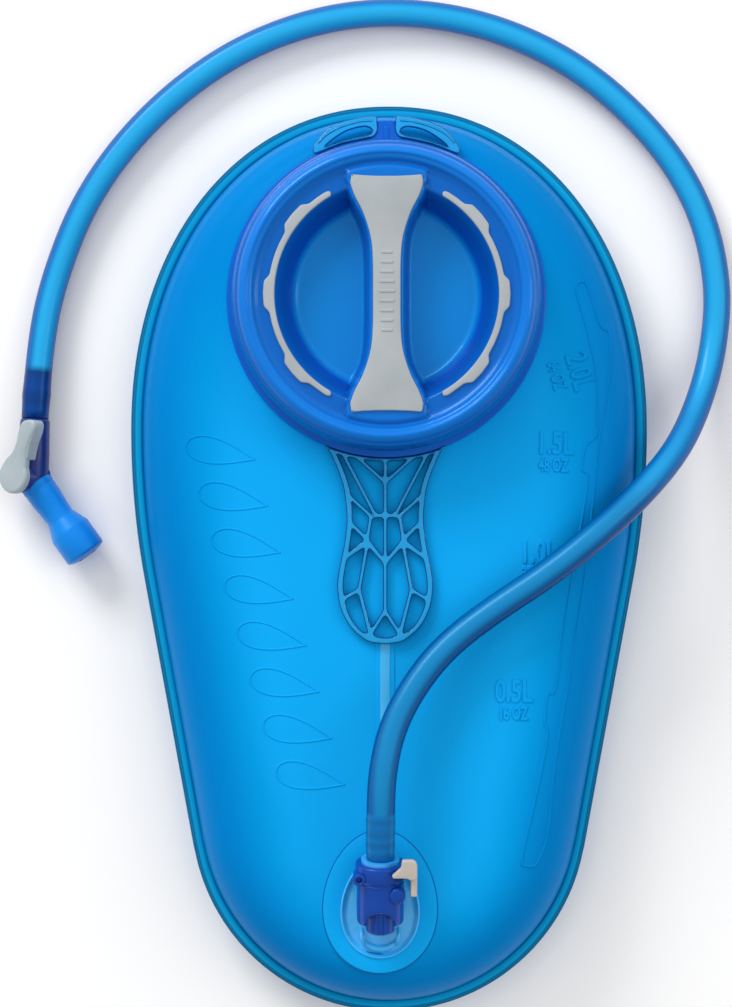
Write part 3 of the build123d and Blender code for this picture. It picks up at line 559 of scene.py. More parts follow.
def paint_hose_light(tube, points, total):
    """Colours the hose with painted light: a painted highlight where its wall faces up and in, painted shade at its
    sides and over the bag, and darker bands where each barb shows through.
    """
    rows = len(points)
    places = np.array([vertex.co for vertex in tube.data.vertices]).reshape(2, rows, TUBE_SIDES, 3)[0] / MM
    around = places - points[:, None]
    around /= np.linalg.norm(around, axis=2)[:, :, None]
    inward = np.array([0.0, 60.0, 0.0]) - points
    inward[:, 2] = 0
    # Painted light: how squarely the wall faces a fixed aim, up and towards the bag's middle, picks painted highlight
    # or painted shade.
    painted_light_aim = inward / np.linalg.norm(inward, axis=1)[:, None] * PAINTED_LIGHT_LEAN + (0, 0, 1)
    painted_light_aim /= np.linalg.norm(painted_light_aim, axis=1)[:, None]
    painted_light_facing = np.sum(around * painted_light_aim[:, None], axis=2)
    low, high = smooth_step(painted_light_facing, 0.1, 0.72)[..., None], smooth_step(painted_light_facing, 0.62, 0.97)[..., None]
    color = np.array(HOSE_EDGE_PAINTED_SHADE) * (1 - low) + np.array(HOSE_SIDE_HALF_SHADE) * low
    color = color * (1 - high) + np.array(HOSE_CROWN_PAINTED_HIGHLIGHT) * high
    along = lengths_along(points)
    # Painted shade darkens the hose while it lies over the bag.
    free = smooth_step(along, *OFF_THE_BAG)[:, None, None]
    color = color * (np.array(OVER_THE_BAG_PAINTED_SHADE) * (1 - free) + free)
    barb = smooth_step(along, total - BARB_SHOWS - 0.4, total - BARB_SHOWS + 0.4)[:, None, None]
    fitting = (1 - smooth_step(along, FITTING_SHOWS - 0.4, FITTING_SHOWS + 0.4))[:, None, None]
    stripe = 0.86 + 0.14 * np.cos(2 * pi * along / 4)[:, None, None]
    deep = np.array(BARB_SHADE) * (0.72 + 0.28 * low) * stripe
    teal = (np.array(HOSE_SIDE_HALF_SHADE) * (1 - high) + np.array(FITTING_SHADE) * high) * stripe
    color = color * (1 - barb) + deep * barb
    color = color * (1 - fitting) + teal * fitting
    both = np.concatenate([color, color[::-1]]).reshape(-1, 3)
    attribute = tube.data.attributes.new("painted_light_tone", "FLOAT_COLOR", "POINT")
    attribute.data.foreach_set("color", np.column_stack([both, np.ones(len(both))]).astype(np.float32).ravel())


def make_tube():
    points = tube_centreline()
    along = lengths_along(points)
    total = along[-1]
    swell = np.zeros(len(points))
    for ridge in BARB_RIDGES:
        swell += np.exp(-(((along - ridge) / 1.3) ** 2)) + np.exp(-(((total - along - ridge) / 1.3) ** 2))
    outer = tube_rings(points, TUBE_R + BARB_SWELL * swell, TUBE_SIDES)
    inner = tube_rings(points, BORE_R, TUBE_SIDES)
    tube = mesh_object("drinking_tube", shape_of(np.concatenate([outer, inner[::-1]]), True))
    paint_hose_light(tube, points, total)
    own(tube, "drink_line", "tube", hose_material(), "drink_tube")
    return tube, points, total


drinking_tube, tube_line, tube_length = make_tube()

# ---------------------------------------------------------------- the film
HALF_WIDTH = 94.0
HALF_LENGTH = 165.3
WIDEST_Y = 47.0
TOP_EXPONENT = 2.12
SIDE_RADIUS = 300.0
SIDE_ANGLE = radians(10.4)
BOTTOM_RADIUS = 71.9
WELD_WIDTH = 4.0
RIM_Z = 15.0
TOP_Z = 38.0
FLAT_X, FLAT_Y, FLAT_SHIFT = 0.64, 0.882, 4.5
AROUND = 288
PORT = (node_box("cap_seal")[0] + node_box("cap_seal")[1]) / 2
OUTLET_X = -3.4
DISH_Y = -124.0


def half_width(y):
    """Half the bag's width at y: a superelliptic top, gently curved then straight sides, a round bottom."""
    side_end = WIDEST_Y - SIDE_RADIUS * sin(SIDE_ANGLE)
    bottom_center = BOTTOM_RADIUS - HALF_LENGTH
    if y >= WIDEST_Y:
        reach = min((y - WIDEST_Y) / (HALF_LENGTH - WIDEST_Y), 1)
        return HALF_WIDTH * (1 - reach**TOP_EXPONENT) ** (1 / TOP_EXPONENT)
    if y >= side_end:
        return HALF_WIDTH - SIDE_RADIUS + sqrt(SIDE_RADIUS**2 - (WIDEST_Y - y) ** 2)
    if y >= bottom_center - BOTTOM_RADIUS * sin(SIDE_ANGLE):
        return HALF_WIDTH - SIDE_RADIUS * (1 - cos(SIDE_ANGLE)) - (side_end - y) * tan(SIDE_ANGLE)
    return sqrt(max(BOTTOM_RADIUS**2 - (y - bottom_center) ** 2, 0))


def outline_ring(x_scale, y_scale, y_shift, z):
    """The bag's outline, scaled about the origin, shifted along Y and lifted to z."""
    turns = 2 * pi * (np.arange(AROUND) + 0.5) / AROUND
    y = HALF_LENGTH * np.sin(turns)
    x = np.sign(np.cos(turns)) * np.array([half_width(v) for v in y])
    return np.stack([x * x_scale, y * y_scale + y_shift, np.full(AROUND, z)], axis=1)


def inset_ring(inward, z):
    return outline_ring(1 - inward / HALF_WIDTH, 1 - inward / HALF_LENGTH, 0, z)


def pillow_ring(angle, rise):
    """The film where its rounded side has turned by an angle, 0 at the weld and 90 on the flat."""
    share = 1 - cos(angle)
    x_scale = (1 - WELD_WIDTH / HALF_WIDTH) * (1 - share) + FLAT_X * share
    y_scale = (1 - WELD_WIDTH / HALF_LENGTH) * (1 - share) + FLAT_Y * share
    return outline_ring(x_scale, y_scale, FLAT_SHIFT * share, RIM_Z + rise * sin(angle))


def egg(width, length, center_y, count=72, narrowing=0.1):
    """An oval round the outlet's line, wider towards -Y."""
    turns = 2 * pi * np.arange(count) / count
    x = OUTLET_X + width / 2 * np.cos(turns) * (1 - narrowing * np.sin(turns))
    return np.stack([x, center_y + length / 2 * np.sin(turns)], axis=1)


def circle(radius, count=144, center=(PORT[0], PORT[1])):
    turns = 2 * pi * np.arange(count) / count
    return np.stack([center[0] + radius * np.cos(turns), center[1] + radius * np.sin(turns)], axis=1)


CROWN = 1.5


def crown(x, y):
    """How far the full film stands above its flat: two long swells, level at the port, handle and outlet."""
    x, y = np.asarray(x, float), np.asarray(y, float)
    across = smooth_step(np.abs(x - OUTLET_X / 2), 16, 40)
    from_edge = 1 - (np.abs(x) / 62) ** 2.5 - (np.abs(y - FLAT_SHIFT) / 148) ** 2.5
    from_port = smooth_step(np.hypot(x - PORT[0], y - PORT[1]), 58, 84)
    return CROWN * across * np.clip(from_edge, 0, 1) * from_port


NECK_HOLE_R = 45.4
DISH_WIDTH, DISH_LENGTH = 26.8, 35.0


FILM = 0.6


def film_shape(sign, rise, holes):
    """One half of the bag: the weld's outer edge, its band and groove, the rounded side and the flat."""
    rings = [inset_ring(0.0, RIM_Z), inset_ring(0.0, RIM_Z + sign * 0.45), inset_ring(0.25, RIM_Z + sign * 0.75)]
    rings += [inset_ring(0.6, RIM_Z + sign * 0.8), inset_ring(1.0, RIM_Z + sign * 0.55)]
    rings += [inset_ring(1.3, RIM_Z + sign * 0.5), inset_ring(2.9, RIM_Z + sign * 0.55)]
    rings += [inset_ring(3.3, RIM_Z + sign * 0.5), inset_ring(3.7, RIM_Z + sign * 0.2)]
    angles = np.radians([1, 3, 6, 10, 15, 20, 26, 32, 38, 44, 50, 56, 62, 67, 72, 77, 82, 86, 90])
    rings += [pillow_ring(a, rise) for a in angles]
    points, faces = shape_of(rings, False)
    rim = rings[-1][:, :2]
    grid_step = 5.0
    inner = []
    loops = [rim] + holes
    x_range, y_range = np.arange(-62, 63, grid_step), np.arange(-142, 152, grid_step * 0.87)
    for row, y in enumerate(y_range):
        for x in x_range + (row % 2) * grid_step / 2:
            inner.append((x, y))
    inner = np.array(inner)
    scaled = [half_width((y - FLAT_SHIFT) / FLAT_Y) * FLAT_X if abs(y - FLAT_SHIFT) < 144 else 0 for y in inner[:, 1]]
    keep = np.abs(inner[:, 0]) < np.array(scaled) - 2.5
    near_port = np.hypot(inner[:, 0] - PORT[0], inner[:, 1] - PORT[1]) < NECK_HOLE_R + 2.5
    near_dish = ((inner[:, 0] - OUTLET_X) / 16) ** 2 + ((inner[:, 1] - DISH_Y) / 20) ** 2 < 1
    if holes:
        keep &= ~near_port & ~near_dish
    inner = inner[keep]
    made = filled(loops, inner)
    rim_start = len(points) - AROUND
    extra = np.vstack([*holes, inner]) if holes else inner
    points = np.vstack([points, np.column_stack([extra, np.full(len(extra), RIM_Z + rise)])])
    number = list(range(rim_start, rim_start + AROUND)) + list(range(rim_start + AROUND, len(points)))
    faces += [tuple(number[i] for i in face) for face in made]
    return points, faces


def film_material(name):
    """Blue film with painted shade: bright over the flat, painted shade deeper down the sides, and at the weld a
    lighter band of its own with painted shade in thin dark lines at its edges.
    """
    material = plain(name, (0.0, 0.36, 0.85), 0.34, Specular_IOR_Level=0.03, Specular_Tint=(0.1, 0.6, 1, 1))
    nodes = Nodes(material)
    edge = nodes.add("Attribute", attribute_name="side")
    # Painted shade: colour by nearness to the edge, from the bright flat to the deeper sides, then thin dark lines of
    # painted shade in the weld's creases.
    color = nodes.ramp(edge.outputs["Fac"], [
        (0.0, srgb(18, 168, 240)), (0.35, srgb(6, 152, 222)), (0.84, srgb(0, 126, 200)), (0.87, srgb(0, 92, 152)),
        (0.90, srgb(8, 150, 204)), (0.955, srgb(24, 168, 218)), (0.975, srgb(16, 118, 164)), (1.0, srgb(30, 116, 160))])
    blotch = nodes.ramp(nodes.noise(9, 4.0), [(0.3, (0.93, 0.95, 0.97)), (0.7, (1, 1, 1))])
    nodes.tinted(color, blotch)
    nodes.link(nodes.between(nodes.noise(30, 4.0), 0.24, 0.36), nodes.shader.inputs["Roughness"])
    ripple = nodes.bump(nodes.noise(22, 2.0), 0.12, 0.0012)
    nodes.bump(nodes.noise(700, 2.0), 0.2, 0.00004, ripple)
    return material


def edge_tone_and_shade_attribute(piece):
    """Stores how near the edge each point is, which sets the film's painted edge shade and the weld's tone: 0 in the
    middle, 0.84 at the weld, 1 at the outer edge.
    """
    mesh = piece.data
    places = np.array([vertex.co for vertex in mesh.vertices]) / MM
    outer = inset_ring(0, 0)[:, :2]
    inward = np.min(np.hypot(places[:, :1] - outer[:, 0], places[:, 1:2] - outer[:, 1]), axis=1)
    value = 0.84 * (1 - smooth_step(inward, 11, 42))
    on_weld = (np.abs(places[:, 2] - RIM_Z) < 0.9) & (inward < WELD_WIDTH + 0.2)
    value[on_weld] = 1.0 - np.clip(inward[on_weld] / WELD_WIDTH, 0, 1) * 0.14
    attribute = mesh.attributes.new("side", "FLOAT", "POINT")
    attribute.data.foreach_set("value", value.astype(np.float32))


def make_film():
    material = film_material("blue_film")
    rise = TOP_Z - RIM_Z
    dish = egg(DISH_WIDTH + 0.4, DISH_LENGTH + 0.4, DISH_Y)
    points, faces = film_shape(1, rise, [circle(NECK_HOLE_R), dish])
    points[:, 2] += crown(points[:, 0], points[:, 1]) * smooth_step(points[:, 2], 26, 37.9)
    front = mesh_object("front_film", (points, faces))
    edge_tone_and_shade_attribute(front)
    back = mesh_object("back_film", film_shape(-1, FILM - RIM_Z, []))
    edge_tone_and_shade_attribute(back)
    for piece in (front, back):
        skin = piece.modifiers.new("thickness", "SOLIDIFY")
        skin.thickness = FILM * MM
        skin.offset = -1 if piece is front else 1
    own(front, "reservoir", "film", material, "front_panel")
    own(back, "reservoir", "film", material, "back_panel")
    return material


blue_film = make_film()


# ---------------------------------------------------------------- materials of the mouldings
CAP_BLUE = moulded("cap_blue", srgb(0, 88, 196), srgb(0, 96, 200), 0.3, Specular_Tint=(0.15, 0.5, 1, 1),
                   Coat_Weight=0.12, Coat_Roughness=0.1)
COUPLING_BLUE = moulded("coupling_blue", srgb(0, 56, 146), srgb(6, 66, 164), 0.3, Specular_Tint=(0.3, 0.5, 1, 1),
                        Coat_Weight=0.15, Coat_Roughness=0.1)
NAVY = moulded("navy", srgb(10, 38, 112), srgb(16, 46, 128), 0.34, Specular_IOR_Level=0.3, Coat_Weight=0.1)
BITE_BLUE = moulded("bite_silicone", srgb(0, 118, 212), srgb(4, 132, 224), 0.4, 500, 0.00006,
                    Specular_Tint=(0.2, 0.6, 1, 1), Coat_Weight=0.1, Coat_Roughness=0.2)
FITTING_BLUE = moulded("fitting_blue", srgb(40, 150, 225), srgb(70, 180, 240), 0.2, Coat_Weight=0.5)
GREY_RUBBER = moulded("grey_rubber", srgb(158, 165, 169), srgb(170, 176, 180), 0.6, 1400, 0.00006)
LEVER_GREY = moulded("lever_grey", srgb(150, 164, 170), srgb(166, 178, 184), 0.45, Coat_Weight=0.1)
BUTTON_GREY = moulded("button_grey", srgb(184, 174, 164), srgb(202, 192, 182), 0.5, Coat_Weight=0.1)
SEAL_RUBBER = moulded("seal_rubber", srgb(60, 64, 68), srgb(76, 80, 84), 0.6, 1400)
SPRING_STEEL = moulded("spring_steel", srgb(170, 172, 176), srgb(200, 202, 206), 0.25, 2400, 0.00001, Metallic=1.0)


def clear_material(name, color, alpha, **inputs):
    """Thin clear plastic: what lies behind shows through it, and its own gloss and colour lie over that."""
    material = moulded(name, color, tuple(min(1.0, level * 1.1) for level in color), 0.06, 180, 0.00006, IOR=1.45,
                       Specular_Tint=(0.7, 0.9, 1, 1), Coat_Weight=0.25, Coat_Roughness=0.03, **inputs)
    material.node_tree.nodes["Principled BSDF"].inputs["Alpha"].default_value = alpha
    return material


CLEAR = clear_material("clear_plastic", srgb(20, 178, 244), 0.6)
# The clear plates' walls and rounded edges get a deep blue as painted shade.
CLEAR_WALL_PAINTED_SHADE = clear_material("clear_wall_painted_shade", srgb(0, 66, 136), 0.85)


def paint_wall_shade(piece, steep):
    """Gives a clear plate's rounded edges and walls a deep blue of painted shade, in place of the dark lines that
    refraction makes there.
    """
    piece.data.materials.append(CLEAR_WALL_PAINTED_SHADE)
    for face in piece.data.polygons:
        if abs(face.normal.z) < steep:
            face.material_index = 1


DISH_BLUE = moulded("dish_blue", srgb(40, 170, 240), srgb(70, 190, 248), 0.16, 300, 0.0001, Coat_Weight=0.5)


def bead(line, radius, sides=10):
    """A round bead along a line of points, closed at both ends."""
    line = np.asarray(line, float)
    return loft(tube_rings(line, radius, sides))


# ---------------------------------------------------------------- the collar, its tab and the hang wings
def polar(radius, degrees):
    """A flat point at a radius from the port's middle, at an angle clockwise from +Y."""
    return PORT[0] + radius * sin(radians(degrees)), PORT[1] + radius * cos(radians(degrees))


def polar_points(pairs, side=1):
    return np.array([polar(radius, side * degrees) for radius, degrees in pairs])


def at_port(shape, height=0.0):
    return shape[0] + np.array([PORT[0], PORT[1], height]), shape[1]


COLLAR = ((42.6, 33.3), (42.9, 33.0), (44.9, 33.0), (45.2, 33.3), (45.2, 38.05), (56.5, 38.05), (57.0, 38.5),
          (57.0, 39.9), (56.8, 40.4), (56.3, 40.6), (46.4, 40.6), (45.5, 40.9), (45.2, 41.6), (45.2, 49.6),
          (44.8, 50.0), (43.0, 50.0), (42.6, 49.6))
THREAD_LEAD = 8.0
NECK_THREAD_Z = 42.1
NECK_THREAD = (0, 300)
CAP_THREAD = (240, 450)
CAP_THREAD_Z = NECK_THREAD_Z + THREAD_LEAD * (CAP_THREAD[0] / 360 - 0.5)
THREAD_RIDGE = 1.15


def thread_ridge(start_angle, end_angle, radius, start_z, size):
    """A round-backed helical ridge that tapers off at both ends."""
    angles = np.radians(np.arange(start_angle, end_angle + 1, 3))
    z = start_z + THREAD_LEAD * (angles - angles[0]) / (2 * pi)
    line = np.column_stack([radius * np.cos(angles), radius * np.sin(angles), z])
    taper = smooth_step(np.arange(len(angles)), 0, 8) * smooth_step(np.arange(len(angles))[::-1], 0, 8)
    return loft(tube_rings(line, size * (0.3 + 0.7 * taper), 12))


def make_collar():
    half = np.array([(8.8, 145.0), (8.3, 148.6), (5.4, 150.6), (3.9, 152.4), (3.2, 155.0), (3.2, 156.9)])
    outline = np.vstack([half, half[::-1] * (-1, 1)]) + (PORT[0], 0)
    tab = plate([rounded(outline, 0.9)], 38.05, 40.6, 0.55)
    rib = plate([rounded(np.array([(-0.9, 147), (0.9, 147), (0.9, 154.6), (-0.9, 154.6)]) + (PORT[0], 0), 0.8)],
                40.4, 41.0, 0.3)
    collar = mesh_object("port_collar", at_port(lathe(COLLAR, 180, True)), tab, rib,
                         at_port(thread_ridge(*NECK_THREAD, 45.6, NECK_THREAD_Z, THREAD_RIDGE)))
    own(crisp(collar), "reservoir", "blue_plastic", CAP_BLUE, "fill_port_collar")


WING_OUTLINE = ((65.2, 2.9), (65.1, 7.4), (64.7, 13.8), (63.9, 18.7), (62.1, 22.5), (59.4, 26.4), (57.2, 27.0),
                (56.9, 24.5), (57.0, 16.0), (57.0, 8.0), (57.3, 4.2), (59.5, 2.9))
WING_SLOT = ((58.0, 22.0), (59.4, 18.7), (61.0, 13.3), (61.4, 8.0), (60.6, 5.4), (59.0, 4.9), (58.2, 7.0),
             (58.0, 14.0), (57.9, 19.0))
WING_GROOVE = ((60.2, 23.8), (61.9, 20.0), (62.9, 15.0), (63.4, 9.0), (63.3, 4.4))


def make_wings():
    shapes = []
    for side in (-1, 1):
        outline = spaced(rounded(polar_points(WING_OUTLINE, side), 1.3), 0.5)
        slot = spaced(smooth_curve(polar_points(WING_SLOT, side), True), 0.5)
        shapes.append(plate([outline, slot], 39.4, 41.2, 0.6, 4))
        groove = smooth_curve(polar_points(WING_GROOVE, side))
        shapes.append(bead(np.column_stack([groove, np.full(len(groove), 41.15)]), 0.4))
    wings = mesh_object("hang_wings", *shapes)
    own(wings, "reservoir", "clear_plastic", CLEAR, "hanger_wings")
    paint_wall_shade(wings, 0.9)


make_collar()
make_wings()

# ---------------------------------------------------------------- the cap
CAP_SIDES = 320
CAP_FLOOR_Z = 45.5
CAP_TOP = ((0.6, 45.5), (31.4, 45.5), (33.2, 46.6), (38.6, 55.9), (39.4, 56.8), (44.8, 56.9), (46.4, 57.8),
           (47.4, 59.0), (48.2, 59.3), (48.7, 59.35), (49.2, 59.9), (49.8, 60.0), (50.6, 59.6), (51.6, 58.8),
           (52.5, 57.4), (52.9, 57.35), (53.3, 57.0), (54.2, 54.6), (54.7, 51.6), (54.8, 50.0), (54.8, 46.2),
           (54.4, 45.9), (54.4, 45.3), (54.8, 45.0), (54.8, 42.3), (54.4, 41.85))
CAP_TOP_ROUNDING = (0, 1.2, 2.4, 1.2, 1.0, 1.4, 1.4, 0.5, 0.3, 0.2, 0.2, 0.4, 0.5, 0.6, 0.2, 0.2, 0.3, 1.4, 1.4, 1, 0.2,
                    0.2, 0.2, 0.2, 0.3, 0.3)
CAP_UNDER = ((48.2, 41.8), (47.8, 42.2), (47.8, 51.8), (42.0, 51.8), (42.0, 48.0), (35.5, 44.0), (0.6, 44.0))
BAR_TOP = 58.75
BAR_END = 46.2
BAR_SLOPE = 3.0
WAIST = 4.9
FLARE = 8.6


def bar_half_width(y):
    """Half the cross bar's top width: narrow in the middle, wide at the ends."""
    return WAIST + 1.1 + FLARE / (1 + np.exp((29.6 - np.abs(y)) / 3.8))


def soft_max(a, b, softness):
    return (a + b + np.sqrt((a - b) ** 2 + softness**2)) / 2


def make_cap():
    top = spaced(rounded(CAP_TOP, CAP_TOP_ROUNDING, False), 0.35, False)
    turns = 2 * pi * np.arange(CAP_SIDES) / CAP_SIDES
    x = top[:, :1] * np.cos(turns)
    y = top[:, :1] * np.sin(turns)
    base = np.repeat(top[:, 1:], CAP_SIDES, axis=1)
    outside = np.abs(x) - bar_half_width(y)
    end = 1 - smooth_step(np.hypot(x, y), BAR_END - 2.5, BAR_END + 2.2)
    bar_top = CAP_FLOOR_Z - 2 + (BAR_TOP - CAP_FLOOR_Z + 2) * (1 - smooth_step(outside, -0.5, BAR_SLOPE))
    bar = 56.0 + (bar_top - 56.0) * np.where(bar_top > 56.0, end, 1)
    softness = 2.2 - 1.8 * smooth_step(np.maximum(bar, base), 48, 57)
    z = np.where((top[:, :1] < BAR_END + 3) & (np.arange(len(top))[:, None] < np.argmax(top[:, 0])),
                 soft_max(base, bar, softness) - softness / 2 * (1 - smooth_step(np.abs(base - bar), 0, 6)), base)
    rings = np.stack([x, y, z], axis=2)
    under = [np.column_stack([r * np.cos(turns), r * np.sin(turns), np.full(CAP_SIDES, height)])
             for r, height in CAP_UNDER]
    shell = mesh_object("cap_shell_skin", at_port(loft(np.concatenate([rings, np.array(under)]))),
                        at_port(thread_ridge(*CAP_THREAD, 47.5, CAP_THREAD_Z, THREAD_RIDGE)))
    crisp(shell, 60)
    own(shell, "cap", "blue_plastic", painted_light_cap_material(), "cap_shell")


def painted_light_cap_material():
    """The cap's blue with painted light by height: painted light on the recesses' thin floors, painted shade down the
    walls, and a painted highlight towards the crest.
    """
    material = plain("cap_shell_blue", srgb(0, 96, 214), 0.26, Specular_Tint=(0.15, 0.5, 1, 1), Coat_Weight=0.16,
                     Coat_Roughness=0.05)
    nodes = Nodes(material)
    split = nodes.add("SeparateXYZ")
    nodes.link(nodes.coordinates(), split.inputs["Vector"])
    height = nodes.add("MapRange")
    height.inputs["From Min"].default_value = (CAP_FLOOR_Z - 0.5) * MM
    height.inputs["From Max"].default_value = 60 * MM
    nodes.link(split.outputs["Z"], height.inputs["Value"])
    # Painted light and shade by height: light floors, dark walls, a lighter crest.
    painted_light_by_height = nodes.ramp(height.outputs["Result"], [
        (0.0, srgb(0, 133, 213)), (0.06, srgb(0, 128, 210)), (0.2, srgb(0, 74, 178)), (0.5, srgb(0, 74, 164)),
        (0.8, srgb(0, 94, 186)), (0.97, srgb(2, 116, 212))])
    mottle = nodes.ramp(nodes.noise(50), [(0.3, (0.95, 0.96, 0.97)), (0.7, (1, 1, 1))])
    nodes.tinted(painted_light_by_height, mottle)
    nodes.link(nodes.between(nodes.noise(120), 0.26, 0.36), nodes.shader.inputs["Roughness"])
    nodes.bump(nodes.noise(800, 2.0), 0.3, 0.00003)
    return material


PAD_SIDE = ((4.8, 0), (4.9, 12), (5.7, 20), (8.2, 28), (11.2, 34), (12.8, 38.5))


def pad_loop():
    """The pad's bow-tie outline about the port's middle."""
    side = [(x, -y) for x, y in PAD_SIDE[:0:-1]] + list(PAD_SIDE)
    right = [(12.3, -41.4)] + list(smooth_curve(side)) + [(12.3, 41.4)]
    end = [(8.0, 41.05), (3.0, 40.85), (-3.0, 40.85), (-8.0, 41.05)]
    right_points = np.array(right)
    loop = np.vstack([right_points, end, -right_points, -np.array(end)])
    return rounded(spaced(loop, 0.5), 0.3, steps=1) + (PORT[0], PORT[1])


def grip_loop(side):
    """A crescent on the recess's rim, with three lugs on its outer edge and round ends."""
    inner = [(39.3, a) for a in range(30, 151, 4)]
    outer = []
    for lug in (130, 90, 50):
        outer += [(41.5, lug + 9), (43.2, lug + 6), (43.3, lug), (43.2, lug - 6), (41.5, lug - 9)]
        if lug > 50:
            outer += [(41.5, lug - 15), (41.5, lug - 20), (41.5, lug - 25)]
    points = polar_points(inner + [(39.9, 151), (41.0, 151), (41.5, 149)] + outer
                          + [(41.5, 36), (41.5, 31), (41.0, 29), (39.9, 29)], side)
    return spaced(rounded(points, 0.8), 0.45)


def make_pads():
    ribs = []
    for step in range(9):
        y = PORT[1] - 12.8 + step * 3.4
        half = 2.9 - 0.22 * abs(step - 4)
        loop = rounded(np.array([(-half, y - 0.55), (half, y - 0.55), (half, y + 0.55), (-half, y + 0.55)])
                       + (PORT[0], 0), 0.5)
        ribs.append(plate([loop], 59.5, 59.85, 0.2))
    pad = mesh_object("bar_pad", plate([pad_loop()], 58.3, 59.6, 0.35), *ribs)
    own(pad, "cap", "grey_rubber", GREY_RUBBER, "cap_bar_pad")
    for side, name in ((-1, "left"), (1, "right")):
        grip = mesh_object("grip_crescent_" + name, plate([grip_loop(side)], 56.3, 57.75, 0.45))
        own(grip, "cap", "grey_rubber", GREY_RUBBER, "grip_pad_" + name)


make_cap()
make_pads()

# ---------------------------------------------------------------- the filling handle
HANDLE_X = -1.6
HANDLE_SIDE = ((21.3, 41.0), (19.6, 38.2), (18.1, 35.0), (16.2, 30.2), (14.7, 25.0), (13.9, 18.0), (13.8, 13.0),
               (14.6, 6.0), (15.8, 0.0), (17.0, -7.0), (16.9, -12.0), (15.6, -18.0), (12.2, -24.0), (7.0, -28.4),
               (3.4, -29.5))
HANDLE_TIP = (0.0, -29.8)
BAND = 1.45
RIB_INSET = 0.75


def handle_arc(x, drop=0.0):
    """Where the handle meets the collar's flange, at an x from the handle's middle."""
    return PORT[1] - np.sqrt(57.1**2 - (np.asarray(x) + HANDLE_X - PORT[0]) ** 2) - drop


def make_handle():
    side = smooth_curve(HANDLE_SIDE)
    depth = lambda y: float(np.interp(-y, -side[:, 1], side[:, 0])) - BAND
    top = lambda x: (x, float(handle_arc(x, 0.35)))
    rim = lambda *heights: [(depth(y), y) for y in heights]
    cells = [
        [(0, 36.1), top(5), top(10.2), (0, 27.8)],
        [(0, 27.8), top(10.2), top(15.0), (3.6, 16.2), (0, 16)],
        [top(15.0), top(17.0), top(19.2), *rim(37.2, 34, 31, 28, 25.5, 23), (5.1, 15.8), (3.6, 16.2)],
        [(5.1, 15.8), *rim(23, 20, 17, 13.2), (6.4, 7.6)],
        [(6.4, 7.2), *rim(13.2, 10, 7, 4, 1)],
        [(0, 16), (5.1, 15.8), (6.4, 7.2), (0, -1)],
        [(6.3, 6.2), *rim(1, -2.5, -6, -10, -14), (9.3, -10.5)],
        [(0, -1), (6.3, 6.2), (9.3, -10.5), (5.2, -26.2), (0, -18)],
        [(9.3, -10.5), *rim(-14, -17, -20, -22.5, -25), (8.0, -26.4), (5.3, -26.8)],
        [(0, -18), (5.4, -26.7), (3.0, -28.0), (0, -28.4), (-3.0, -28.0), (-5.4, -26.7)],
    ]
    holes = []
    for number, cell in enumerate(cells):
        flips = (1,) if number == len(cells) - 1 else (1, -1)
        for flip in flips:
            loop = turned(np.array(cell, float) * (flip, 1))
            holes.append(spaced(rounded(inset(loop, RIB_INSET), 1.1, steps=4), 0.55) + (HANDLE_X, 0))
    arc_x = np.arange(-19.5, 20, 1.5)
    arc = np.column_stack([arc_x, handle_arc(arc_x)])
    outline = np.vstack([side, [HANDLE_TIP], side[::-1] * (-1, 1), arc])
    outline = spaced(outline, 0.6) + (HANDLE_X, 0)
    handle = mesh_object("clear_handle", plate([outline] + holes, 38.15, 41.0, 0.6, 4))
    own(handle, None, "clear_plastic", CLEAR, "carry_handle", "handle_anchor")
    paint_wall_shade(handle, 0.9)
    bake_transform(handle)


make_handle()

# ---------------------------------------------------------------- the outlet
OUTLET_ORIGIN = (OUTLET_X, -105.7, 51.0)
OUTLET_TILT = radians(12)
PULL = (0.0, cos(OUTLET_TILT), sin(OUTLET_TILT))
PATCH_Y = -122.0


def in_outlet(shape):
    """From the coupling's coordinates: x to the left, y up, z out towards the tube."""
    return placed(shape, OUTLET_ORIGIN, (-1, 0, 0), PULL)


def upright(shape, x, z):
    """A lathed shape stood up on the coupling's axis plane, at a place along x and z."""
    points = np.asarray(shape[0])
    return np.column_stack([points[:, 0] + x, points[:, 2], points[:, 1] + z]), shape[1]


